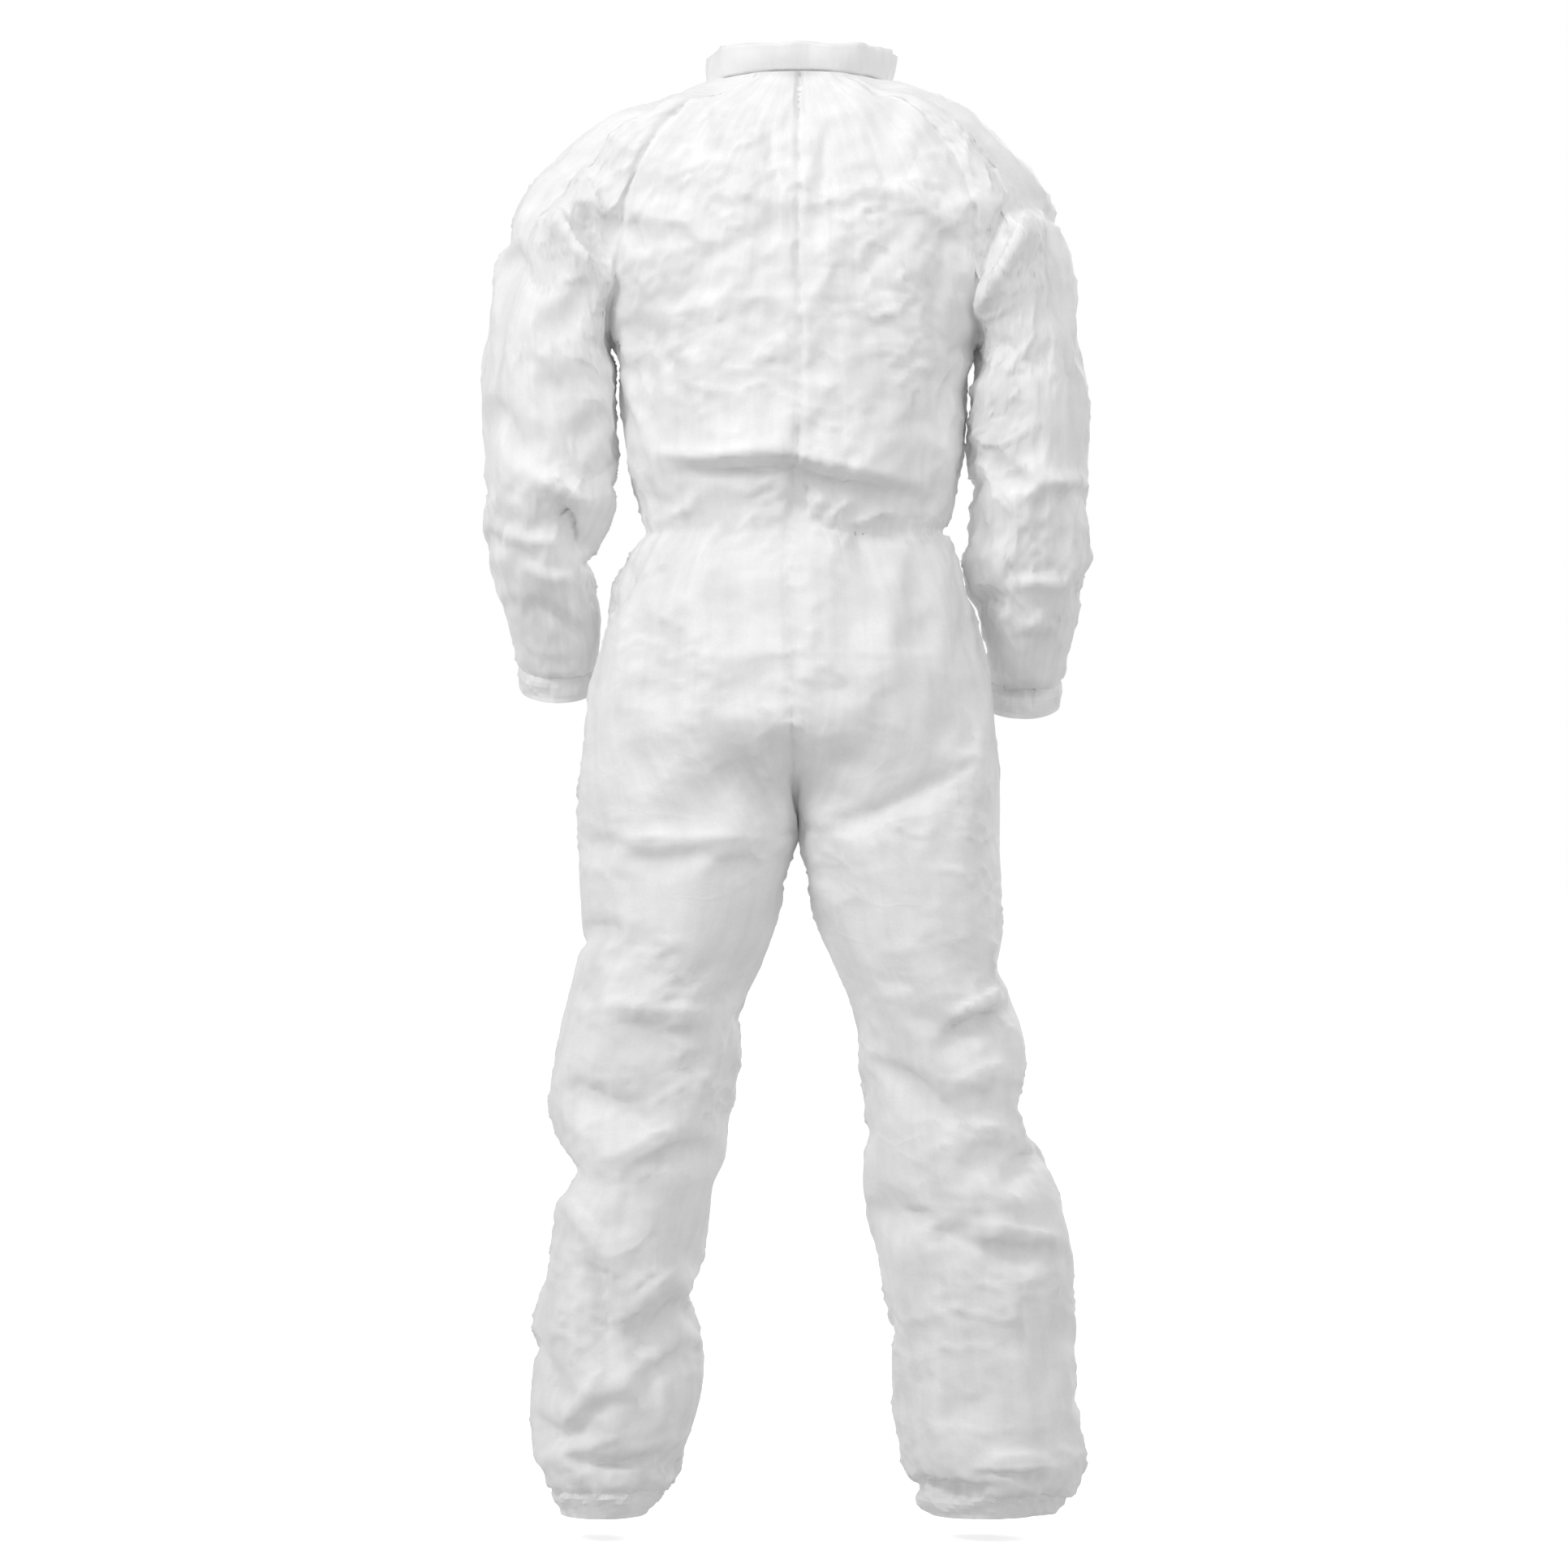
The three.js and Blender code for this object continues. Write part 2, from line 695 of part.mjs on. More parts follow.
add("zip_pull", pullGeometry(), coated, zipGroup);

// The storm flap arches over the slider and lies on the suit at both sides.
const flapInside = [
  [flap.root, -0.5],
  [24, -0.6],
  [18, -2.6],
  [11, flap.over],
  [-8, flap.over],
  [-16, -3.4],
  [flap.edge, -0.5],
];
const flapOutside = flapInside.map(([x, y]) => [x, y - flap.thick]).reverse();
add("storm_flap", alongZip([...flapInside, ...flapOutside], flap.top, -zip.length - 4), nonwoven, zipGroup);

export default suit;
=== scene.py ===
import math
import time

import bmesh
import bpy
import numpy as np
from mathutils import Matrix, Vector, kdtree, noise


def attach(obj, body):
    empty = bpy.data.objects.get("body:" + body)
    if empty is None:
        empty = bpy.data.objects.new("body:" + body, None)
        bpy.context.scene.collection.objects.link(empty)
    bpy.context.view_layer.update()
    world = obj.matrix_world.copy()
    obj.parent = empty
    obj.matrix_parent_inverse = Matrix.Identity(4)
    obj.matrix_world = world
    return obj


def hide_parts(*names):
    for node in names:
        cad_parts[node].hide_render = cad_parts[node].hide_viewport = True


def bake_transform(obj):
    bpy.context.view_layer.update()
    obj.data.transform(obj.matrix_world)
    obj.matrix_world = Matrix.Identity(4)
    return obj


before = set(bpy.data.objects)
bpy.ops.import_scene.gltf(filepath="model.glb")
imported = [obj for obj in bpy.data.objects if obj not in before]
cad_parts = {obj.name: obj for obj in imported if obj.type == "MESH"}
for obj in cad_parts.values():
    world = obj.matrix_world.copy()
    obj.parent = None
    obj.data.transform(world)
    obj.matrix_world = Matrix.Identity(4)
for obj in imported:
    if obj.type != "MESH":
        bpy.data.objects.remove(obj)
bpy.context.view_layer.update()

# Metres, +Z up, the wearer faces -Y and their left is +X. Heights are below the back neckline.
suitSize = {
    "waist": -0.482,
    "crotch": -0.805,
    "ankle": -1.520,
    "armpit": (0.188, 0.0, -0.290),
    "elbow": -0.430,
    "wrist": (-0.650, -0.094),  # height and depth of the middle of the wrist
    "wristShift": {"left": 0.004, "right": -0.014},
    "elbowDepth": (-0.010, 0.072),  # middle and half depth
    "wristDepth": 0.046,
    "trunkEnd": -0.665,
    "zipHalfOpening": 0.006,
    "torsoSway": {"left": 1.03, "right": 0.965},
}
gridSize = {"across": 28, "underarm": 20, "raglan": 40, "neck": 9, "lower": 124, "sleeve": 46, "forearm": 28}

zipTop = (-0.096, -0.006)
zipLength = 0.634
zipForward = 0.042
zipSlope = zipForward / math.sqrt(zipLength**2 - zipForward**2)
zipEnd = zipTop[1] - math.sqrt(zipLength**2 - zipForward**2)


def frontLine(z):
    return zipTop[0] + (z - zipTop[1]) * zipSlope


def smooth(x, low, high):
    t = np.clip((x - low) / (high - low), 0, 1)
    return t * t * (3 - 2 * t)


def blurTable(rows, blur=0.010):
    heights = np.linspace(rows[-1][0] - 0.05, rows[0][0] + 0.05, 700)
    values = np.interp(heights, [r[0] for r in rows][::-1], [r[1] for r in rows][::-1])
    step = heights[1] - heights[0]
    reach = int(3 * blur / step)
    kernel = np.exp(-0.5 * (np.arange(-reach, reach + 1) * step / blur) ** 2)
    padded = np.pad(values, reach, mode="edge")
    values = np.convolve(padded, kernel / kernel.sum(), mode="valid")
    return lambda z: np.interp(z, heights, values)


def curveThrough(points, samples=400):
    p = np.array(points, float)
    p = np.vstack([2 * p[0] - p[1], p, 2 * p[-1] - p[-2]])
    line = []
    for k in range(1, len(p) - 2):
        knots = [0.0]
        for a, b in zip(p[k - 1 : k + 2], p[k : k + 3]):
            knots.append(knots[-1] + np.linalg.norm(b - a) ** 0.5)
        t = np.linspace(knots[1], knots[2], samples // (len(p) - 3), endpoint=False)[:, None]
        k0, k1, k2, k3 = knots
        a1 = (k1 - t) / (k1 - k0) * p[k - 1] + (t - k0) / (k1 - k0) * p[k]
        a2 = (k2 - t) / (k2 - k1) * p[k] + (t - k1) / (k2 - k1) * p[k + 1]
        a3 = (k3 - t) / (k3 - k2) * p[k + 1] + (t - k2) / (k3 - k2) * p[k + 2]
        b1 = (k2 - t) / (k2 - k0) * a1 + (t - k0) / (k2 - k0) * a2
        b2 = (k3 - t) / (k3 - k1) * a2 + (t - k1) / (k3 - k1) * a3
        line.append((k2 - t) / (k2 - k1) * b1 + (t - k1) / (k2 - k1) * b2)
    line = np.vstack(line + [p[-2][None]])
    run = np.concatenate([[0], np.cumsum(np.linalg.norm(np.diff(line, axis=0), axis=1))])
    run /= run[-1]
    return lambda s: np.stack([np.interp(s, run, line[:, k]) for k in range(3)], axis=-1)


# The lines that the panels are sewn along, for the left half.
neckBack = (0.046, 0.057, -0.001)
neckFront = (0.055, -0.084, -0.033)
neckMiddleFront = (0.0, frontLine(-0.040), -0.040)
shoulderTop = (0.095, -0.012, -0.012)
armpit = suitSize["armpit"]
sideSeam = curveThrough([(0.157, 0, -0.482), (0.172, 0, -0.430), (0.182, 0, -0.370), armpit])
raglanBack = curveThrough(
    [armpit, (0.190, 0.038, -0.262), (0.187, 0.070, -0.205), (0.179, 0.084, -0.135),
     (0.158, 0.082, -0.082), (0.112, 0.070, -0.030), neckBack]
)
raglanFront = curveThrough(
    [armpit, (0.190, -0.042, -0.268), (0.186, -0.082, -0.205), (0.172, -0.098, -0.130),
     (0.140, -0.101, -0.084), (0.096, -0.095, -0.050), neckFront]
)
neckBackCurve = curveThrough([shoulderTop, (0.080, 0.032, -0.005), neckBack])
neckFrontCurve = curveThrough([shoulderTop, (0.084, -0.056, -0.023), neckFront])

backMiddle = blurTable(
    [(0.0, 0.062), (-0.06, 0.084), (-0.14, 0.110), (-0.26, 0.117), (-0.34, 0.116), (-0.40, 0.116),
     (-0.430, 0.110), (-0.455, 0.098), (-0.482, 0.096), (-0.54, 0.116), (-0.62, 0.134),
     (-0.70, 0.136), (-0.805, 0.132)],
    0.008,
)
halfWidth = {
    "left": blurTable(
        [(-0.482, 0.162), (-0.512, 0.186), (-0.542, 0.201), (-0.60, 0.210), (-0.65, 0.221),
         (-0.72, 0.227), (-0.805, 0.231)],
        0.007,
    ),
    "right": blurTable(
        [(-0.482, 0.152), (-0.512, 0.166), (-0.57, 0.184), (-0.64, 0.194), (-0.72, 0.203),
         (-0.805, 0.208)],
        0.007,
    ),
}
legOuter = {
    "left": blurTable(
        [(-0.805, 0.231), (-0.88, 0.232), (-0.905, 0.230), (-0.935, 0.237), (-0.99, 0.248),
         (-1.05, 0.260), (-1.09, 0.262), (-1.125, 0.254), (-1.147, 0.241), (-1.175, 0.254),
         (-1.235, 0.267), (-1.295, 0.278), (-1.40, 0.277), (-1.455, 0.276), (-1.495, 0.266),
         (-1.520, 0.250)],
        0.007,
    ),
    "right": blurTable(
        [(-0.805, 0.208), (-0.87, 0.215), (-0.935, 0.217), (-0.965, 0.226), (-1.01, 0.241),
         (-1.055, 0.239), (-1.085, 0.238), (-1.12, 0.251), (-1.17, 0.270), (-1.235, 0.284),
         (-1.33, 0.288), (-1.385, 0.294), (-1.45, 0.298), (-1.475, 0.292), (-1.505, 0.270),
         (-1.528, 0.240)],
        0.007,
    ),
}
legInner = {
    "left": blurTable(
        [(-0.805, 0.0), (-0.815, 0.006), (-0.845, 0.016), (-0.873, 0.021), (-0.905, 0.029),
         (-0.935, 0.042), (-0.963, 0.053), (-1.00, 0.058), (-1.085, 0.074), (-1.17, 0.089),
         (-1.235, 0.099), (-1.275, 0.106), (-1.30, 0.106), (-1.33, 0.103), (-1.36, 0.102),
         (-1.40, 0.110), (-1.445, 0.122), (-1.48, 0.131), (-1.505, 0.148), (-1.520, 0.160)],
        0.006,
    ),
    "right": blurTable(
        [(-0.805, 0.0), (-0.815, 0.003), (-0.845, 0.010), (-0.903, 0.020), (-0.935, 0.033),
         (-0.965, 0.048), (-1.00, 0.058), (-1.05, 0.063), (-1.17, 0.071), (-1.235, 0.081),
         (-1.33, 0.093), (-1.41, 0.101), (-1.475, 0.113), (-1.505, 0.121), (-1.528, 0.142)],
        0.006,
    ),
}
legMiddle = blurTable([(-0.805, 0.0), (-1.09, 0.005), (-1.30, 0.016), (-1.52, 0.012)], 0.02)
legBackDepth = blurTable(
    [(-0.805, 0.112), (-0.93, 0.104), (-1.09, 0.092), (-1.30, 0.092), (-1.455, 0.090), (-1.49, 0.080),
     (-1.52, 0.058)],
    0.012,
)
legFrontDepth = blurTable(
    [(-0.805, 0.116), (-0.93, 0.110), (-1.09, 0.094), (-1.30, 0.090), (-1.455, 0.088), (-1.49, 0.080),
     (-1.52, 0.058)],
    0.012,
)
seamSway = blurTable([(-0.38, 0.0), (-0.477, 0.011), (-0.52, 0.014), (-0.69, 0.009), (-0.80, 0.0)], 0.015)

armEdge = {  # the outer and the inner line of each arm, by height
    "left": (
        [(-0.43, 0.334), (-0.482, 0.333), (-0.512, 0.328), (-0.542, 0.320), (-0.572, 0.311),
         (-0.602, 0.304), (-0.632, 0.299), (-0.667, 0.297)],
        [(-0.43, 0.192), (-0.455, 0.192), (-0.482, 0.204), (-0.512, 0.217), (-0.542, 0.214),
         (-0.572, 0.210), (-0.632, 0.216), (-0.667, 0.220)],
    ),
    "right": (
        [(-0.43, 0.305), (-0.51, 0.309), (-0.542, 0.302), (-0.572, 0.297), (-0.602, 0.291),
         (-0.632, 0.284), (-0.667, 0.279)],
        [(-0.43, 0.180), (-0.482, 0.178), (-0.512, 0.173), (-0.542, 0.178), (-0.572, 0.192),
         (-0.602, 0.200), (-0.667, 0.199)],
    ),
}
shoulderLine = {  # how each shoulder falls: leave and arrive handles of the sleeve's outer line
    "left": ((0.205, -0.040), (0.010, 0.268)),
    "right": ((0.185, -0.040), (-0.004, 0.270)),
}

fullSpread = math.pi / 2
underarmShare = gridSize["underarm"] / (gridSize["underarm"] + gridSize["raglan"])


def spreadAt(v):
    return fullSpread + (math.pi / 4 - fullSpread) * smooth(v, underarmShare, underarmShare + 0.25)


def sideEdge(raglan, v):
    low = sideSeam(np.clip(v / underarmShare, 0, 1))
    high = raglan(np.clip((v - underarmShare) / (1 - underarmShare), 0, 1))
    return np.where((v <= underarmShare)[..., None], low, high)


def upperPanel(side, facing, t, v):
    waist = suitSize["waist"]
    top = 0.0 if facing > 0 else neckMiddleFront[2]
    z = waist + (top - waist) * v
    middle = backMiddle(z) if facing > 0 else frontLine(z)
    edge = sideEdge(raglanBack if facing > 0 else raglanFront, v)
    spread = spreadAt(v)
    if facing < 0:
        opening = np.arcsin(suitSize["zipHalfOpening"] * np.sin(spread) / edge[..., 0]) / spread
        t = opening + (1 - opening) * t
    angle = t * spread
    bow = (np.cos(angle) - np.cos(spread)) / (1 - np.cos(spread))
    sway = 1 + (suitSize["torsoSway"][side] - 1) * smooth(-v, -0.72, -0.36)
    x = edge[..., 0] * np.sin(angle) / np.sin(spread) * sway
    y = edge[..., 1] + (middle - edge[..., 1]) * bow
    height = z + (edge[..., 2] - z) * t
    sign = 1 if side == "left" else -1
    shift = seamSway(height) * (1 - t) if facing > 0 else 0
    return np.stack([sign * x + shift, y, height], axis=-1)


def lowerPanel(side, facing, t, z):
    sign = 1 if side == "left" else -1
    if facing < 0:
        wide = halfWidth[side](z)
        opening = np.arcsin(suitSize["zipHalfOpening"] / wide) * 2 / math.pi
        opening = np.where(z > zipEnd, opening, 0)
        t = opening + (1 - opening) * t
    angle = t * math.pi / 2
    middle = backMiddle(z) if facing > 0 else frontLine(np.maximum(z, suitSize["crotch"]))
    trunkX = halfWidth[side](z) * np.sin(angle)
    trunkY = middle * np.cos(angle)
    inner, outer = legInner[side](z) + 0.005 * smooth(-z, 0.86, 0.95), legOuter[side](z)
    inner = np.where(z > suitSize["crotch"] - 1e-6, 0, inner)
    depth = (legBackDepth if facing > 0 else legFrontDepth)(z)
    legX = (inner + outer) / 2 - (outer - inner) / 2 * np.cos(t * math.pi)
    legY = legMiddle(z) + facing * depth * np.sin(t * math.pi)
    share = smooth(-z, -suitSize["trunkEnd"], -suitSize["crotch"])
    x = trunkX + (legX - trunkX) * share
    y = trunkY + (legY - trunkY) * share
    shift = seamSway(z) * (1 - t) if facing > 0 else 0
    return np.stack([sign * x + shift, y, z + 0 * x], axis=-1)


neckColumns, raglanColumns = gridSize["neck"], gridSize["raglan"]
halfColumns = neckColumns + raglanColumns


def sleeveHead(side, column):
    front = column > halfColumns
    k = 2 * halfColumns - column if front else column
    if k <= neckColumns:
        p = (neckFrontCurve if front else neckBackCurve)(k / neckColumns)
    else:
        p = (raglanFront if front else raglanBack)(1 - (k - neckColumns) / raglanColumns)
    v = underarmShare + (1 - underarmShare) * np.clip(1 - (k - neckColumns) / raglanColumns, 0, 1)
    sway = 1 + (suitSize["torsoSway"][side] - 1) * smooth(-v, -0.72, -0.36)
    return p * np.array([sway, 1, 1])


def sleeveTube(side, column, v):
    outerLine, innerLine = (blurTable(rows, 0.008) for rows in armEdge[side])
    angle = 2 * math.pi * column / (2 * halfColumns)
    elbow = suitSize["elbow"]
    wristHeight, wristY = suitSize["wrist"]
    wristHeight += suitSize["wristShift"][side]
    elbowY, elbowHalf = suitSize["elbowDepth"]
    z = elbow + (wristHeight - elbow) * v
    eased = v * v * (2 - v)  # leaves the elbow straight down
    y = elbowY + (wristY - elbowY) * eased
    depth = elbowHalf + (suitSize["wristDepth"] - elbowHalf) * eased
    tilt = math.atan2(elbowY - wristY, elbow - wristHeight) * smooth(v, 0, 0.6)
    back = depth * math.sin(angle)
    height = z - back * np.sin(tilt)
    outer, inner = outerLine(height), innerLine(height)
    x = (outer + inner) / 2 + (outer - inner) / 2 * math.cos(angle)
    return np.stack([x, y + back * np.cos(tilt), height], axis=-1)


def sleeve(side):
    rows = gridSize["sleeve"] + gridSize["forearm"] + 1
    points = np.zeros((rows, 2 * halfColumns, 3))
    v = np.linspace(0, 1, gridSize["sleeve"] + 1)[:, None]
    w = np.linspace(0, 1, gridSize["forearm"] + 1)
    leaveOut, arriveOut = shoulderLine[side]
    for column in range(2 * halfColumns):
        top = (1 + math.cos(2 * math.pi * column / (2 * halfColumns))) / 2
        start = sleeveHead(side, column)
        end = sleeveTube(side, column, np.array([0.0]))[0]
        leave = np.array([0.003 + (leaveOut[0] - 0.003) * top, 0, -0.045 + (leaveOut[1] + 0.045) * top])
        rise = 0.045 + (arriveOut[1] - 0.045) * top
        arrive = np.array([-0.004 + (arriveOut[0] + 0.004) * top, 0, rise])
        a, b = start + leave, end + arrive
        line = (1 - v) ** 3 * start + 3 * (1 - v) ** 2 * v * a + 3 * (1 - v) * v**2 * b + v**3 * end
        points[: gridSize["sleeve"] + 1, column] = line
        points[gridSize["sleeve"] :, column] = sleeveTube(side, column, w)
    points[..., 0] *= 1 if side == "left" else -1
    return points


panelNames = []
hemRows = 3


def numberOf(name):
    if name not in panelNames:
        panelNames.append(name)
    return panelNames.index(name)


def clothSteps(points, ring):
    # how far each column and each row lies along the cloth, in metres
    u = np.concatenate([[0], np.cumsum(np.linalg.norm(np.diff(points, axis=1), axis=2).mean(0))])
    v = np.concatenate([[0], np.cumsum(np.linalg.norm(np.diff(points, axis=0), axis=2).mean(1))])
    if ring:
        u = np.append(u, u[-1] + np.linalg.norm(points[:, 0] - points[:, -1], axis=1).mean())
    return u, v


armpitRows = {"height": -0.305, "reach": 0.045, "seam": 0.3, "share": 0.5, "rounds": 60}


def evenUp(points, t):
    # rounds off the rows level with the armpit, where the side seam turns into the raglan seam
    a = armpitRows
    level = a["share"] * np.exp(-(((points[..., 2] - a["height"]) / a["reach"]) ** 2))
    near = level * smooth(1 - t, 0, a["seam"])
    for _ in range(a["rounds"]):
        middle = (points[:-2] + points[2:]) / 2
        points[1:-1] += (middle - points[1:-1]) * near[1:-1, :, None]
    return points


def addGrid(store, name, hemName, points, ring=False):
    rows, columns = points.shape[:2]
    base = len(store["points"])
    store["points"].extend(points.reshape(-1, 3).tolist())
    u, v = clothSteps(points, ring)
    for j in range(rows - 1):
        inHem = j >= rows - 1 - hemRows
        number = numberOf(hemName if inHem else name)
        start = v[rows - 1 - hemRows] if inHem else 0
        for i in range(columns if ring else columns - 1):
            k = (i + 1) % columns
            store["faces"].append((base + j * columns + i, base + j * columns + k,
                                   base + (j + 1) * columns + k, base + (j + 1) * columns + i))
            low, high = v[j] - start, v[j + 1] - start
            store["uv"].append(((u[i], low), (u[i + 1], low), (u[i + 1], high), (u[i], high)))
            store["piece"].append(number)


def buildShell():
    store = {"points": [], "faces": [], "uv": [], "piece": []}
    across = np.linspace(0, 1, gridSize["across"] + 1)
    up = np.linspace(0, 1, gridSize["underarm"] + gridSize["raglan"] + 1)
    heights = np.linspace(suitSize["waist"], suitSize["ankle"], gridSize["lower"] + 1)
    heights[np.argmin(abs(heights - suitSize["crotch"]))] = suitSize["crotch"]
    for side in ("left", "right"):
        for facing, name in ((1, "back"), (-1, "front")):
            t, v = np.meshgrid(across, up[::-1])
            upper = evenUp(upperPanel(side, facing, t, v), t)
            t, z = np.meshgrid(across, heights[1:])
            whole = np.concatenate([upper, lowerPanel(side, facing, t, z)])
            addGrid(store, f"{side}_{name}", f"{side}_ankle_hem", whole)
        addGrid(store, f"{side}_sleeve", f"{side}_wrist_hem", sleeve(side), ring=True)
    mesh = bpy.data.meshes.new("shell")
    mesh.from_pydata(store["points"], [], store["faces"])
    layer = mesh.uv_layers.new(name="cloth")
    layer.data.foreach_set("uv", np.array(store["uv"], np.float32).ravel())
    piece = mesh.attributes.new("piece", "INT", "FACE")
    piece.data.foreach_set("value", np.array(store["piece"], np.int32))
    bm = bmesh.new()
    bm.from_mesh(mesh)
    bmesh.ops.remove_doubles(bm, verts=bm.verts, dist=2e-5)
    bmesh.ops.recalc_face_normals(bm, faces=bm.faces)
    bm.to_mesh(mesh)
    bm.free()
    shell = bpy.data.objects.new("shell", mesh)
    bpy.context.scene.collection.objects.link(shell)
    return shell


# Folds are drawn from behind, or from in front, as lines of (x, height). A fold is a ridge where rise is
# above 0 and a valley below it; wide is how far it fades on the left of its line, steep on its right.
foldLines = []


def fold(on, rise, wide, steep, *line, front=False):
    foldLines.append({"on": on, "line": line, "rise": rise, "wide": wide, "steep": steep, "front": front})


# left sleeve
fold("left_sleeve", 0.010, 0.020, 0.007, (0.258, -0.128), (0.244, -0.165), (0.218, -0.205), (0.200, -0.225))
fold("left_sleeve", -0.007, 0.016, 0.008, (0.232, -0.132), (0.220, -0.164), (0.204, -0.196),
     (0.188, -0.215))
fold("left_sleeve", 0.005, 0.014, 0.008, (0.232, -0.090), (0.212, -0.135), (0.196, -0.170))
fold("left_sleeve", -0.006, 0.014, 0.006, (0.200, -0.225), (0.193, -0.270), (0.200, -0.310))
fold("left_sleeve", -0.003, 0.014, 0.010, (0.300, -0.175), (0.285, -0.215), (0.262, -0.245))
fold("left_sleeve", 0.010, 0.014, 0.008, (0.290, -0.425), (0.262, -0.432), (0.235, -0.448), (0.212, -0.452))
fold("left_sleeve", -0.011, 0.012, 0.007, (0.255, -0.448), (0.240, -0.475), (0.226, -0.510))
fold("left_sleeve", 0.005, 0.012, 0.006, (0.314, -0.482), (0.280, -0.492), (0.244, -0.494))
fold("left_sleeve", 0.005, 0.012, 0.006, (0.300, -0.518), (0.265, -0.530), (0.230, -0.534))
fold("left_sleeve", -0.005, 0.018, 0.010, (0.290, -0.552), (0.255, -0.572), (0.222, -0.604))
fold("left_sleeve", -0.003, 0.014, 0.007, (0.322, -0.335), (0.300, -0.380), (0.292, -0.420))
# right sleeve
fold("right_sleeve", 0.011, 0.009, 0.018, (-0.246, -0.128), (-0.230, -0.172), (-0.204, -0.222),
     (-0.182, -0.262))
fold("right_sleeve", -0.007, 0.010, 0.012, (-0.222, -0.130), (-0.208, -0.165), (-0.190, -0.205),
     (-0.180, -0.235))
fold("right_sleeve", -0.005, 0.012, 0.008, (-0.262, -0.130), (-0.266, -0.190), (-0.276, -0.240),
     (-0.288, -0.290))
fold("right_sleeve", -0.004, 0.007, 0.006, (-0.196, -0.291), (-0.214, -0.288), (-0.230, -0.292))
fold("right_sleeve", -0.006, 0.010, 0.012, (-0.186, -0.250), (-0.190, -0.290), (-0.184, -0.330))
fold("right_sleeve", 0.006, 0.012, 0.007, (-0.308, -0.424), (-0.280, -0.432), (-0.250, -0.428))
fold("right_sleeve", -0.008, 0.008, 0.010, (-0.186, -0.545), (-0.205, -0.556), (-0.222, -0.560))
fold("right_sleeve", 0.005, 0.008, 0.012, (-0.216, -0.541), (-0.250, -0.538), (-0.290, -0.542))
fold("right_sleeve", 0.004, 0.008, 0.010, (-0.222, -0.584), (-0.255, -0.580), (-0.284, -0.588))
fold("right_sleeve", -0.008, 0.012, 0.007, (-0.200, -0.634), (-0.222, -0.650), (-0.250, -0.655),
     (-0.275, -0.648))
# upper back
fold("back", 0.010, 0.006, 0.028, (0.166, -0.404), (0.110, -0.408), (0.020, -0.404), (-0.030, -0.416),
     (-0.100, -0.430), (-0.146, -0.438))
fold("back", -0.007, 0.014, 0.006, (0.165, -0.424), (0.100, -0.424), (0.010, -0.420), (-0.040, -0.434),
     (-0.110, -0.446), (-0.146, -0.450))
fold("back", 0.008, 0.006, 0.006, (-0.010, -0.478), (-0.018, -0.458), (-0.032, -0.440))
fold("back", 0.007, 0.007, 0.006, (-0.026, -0.480), (-0.040, -0.462), (-0.066, -0.446))
fold("back", -0.007, 0.005, 0.006, (-0.004, -0.474), (-0.004, -0.448), (-0.010, -0.430))
fold("back", 0.005, 0.007, 0.007, (-0.052, -0.480), (-0.082, -0.466), (-0.110, -0.464))
fold("back", -0.004, 0.008, 0.006, (-0.042, -0.480), (-0.062, -0.488), (-0.090, -0.488), (-0.122, -0.480))
fold("back", 0.004, 0.010, 0.008, (0.150, -0.474), (0.120, -0.462), (0.100, -0.440))
fold("back", -0.006, 0.010, 0.008, (0.178, -0.150), (0.168, -0.172), (0.158, -0.198))
fold("back", 0.003, 0.028, 0.022, (0.150, -0.135), (0.120, -0.162), (0.085, -0.200))
fold("back", -0.005, 0.020, 0.014, (-0.170, -0.300), (-0.158, -0.345), (-0.150, -0.400))
fold("back", 0.005, 0.012, 0.016, (-0.100, -0.110), (-0.135, -0.150), (-0.168, -0.175))
fold("back", -0.003, 0.012, 0.010, (0.030, -0.040), (0.026, -0.100), (0.018, -0.150))
fold("back", -0.004, 0.010, 0.014, (-0.028, -0.050), (-0.024, -0.110), (-0.020, -0.200))
# seat
fold("back", -0.004, 0.012, 0.010, (0.170, -0.505), (0.196, -0.560), (0.205, -0.590))
fold("back", -0.008, 0.012, 0.012, (-0.182, -0.545), (-0.196, -0.590), (-0.200, -0.640))
fold("back", 0.003, 0.006, 0.014, (0.194, -0.804), (0.120, -0.806), (0.040, -0.802))
fold("back", -0.003, 0.008, 0.008, (0.100, -0.826), (0.070, -0.832), (0.038, -0.828))
fold("back", -0.003, 0.018, 0.012, (0.060, -0.700), (0.045, -0.750), (0.012, -0.790))
fold("back", -0.004, 0.020, 0.016, (-0.020, -0.800), (-0.090, -0.772), (-0.160, -0.735))
# left leg
fold("left_back", -0.005, 0.006, 0.008, (0.232, -0.900), (0.208, -0.899), (0.182, -0.903))
fold("left_back", 0.003, 0.008, 0.014, (0.246, -0.986), (0.180, -0.980), (0.110, -0.988), (0.056, -0.980))
fold("left_back", 0.006, 0.010, 0.022, (0.246, -1.148), (0.190, -1.138), (0.140, -1.112), (0.092, -1.106))
fold("left_back", -0.005, 0.014, 0.012, (0.242, -1.060), (0.200, -1.078), (0.150, -1.090))
fold("left_back", 0.007, 0.012, 0.020, (0.256, -1.172), (0.222, -1.205), (0.196, -1.262))
fold("left_back", -0.006, 0.014, 0.010, (0.216, -1.226), (0.206, -1.290), (0.195, -1.352))
fold("left_back", -0.008, 0.013, 0.014, (0.118, -1.278), (0.138, -1.302), (0.170, -1.340))
fold("left_back", 0.006, 0.012, 0.012, (0.106, -1.246), (0.150, -1.272), (0.190, -1.310))
fold("left_back", 0.008, 0.016, 0.010, (0.196, -1.348), (0.222, -1.385), (0.256, -1.430))
fold("left_back", 0.006, 0.014, 0.014, (0.196, -1.350), (0.172, -1.380), (0.168, -1.410))
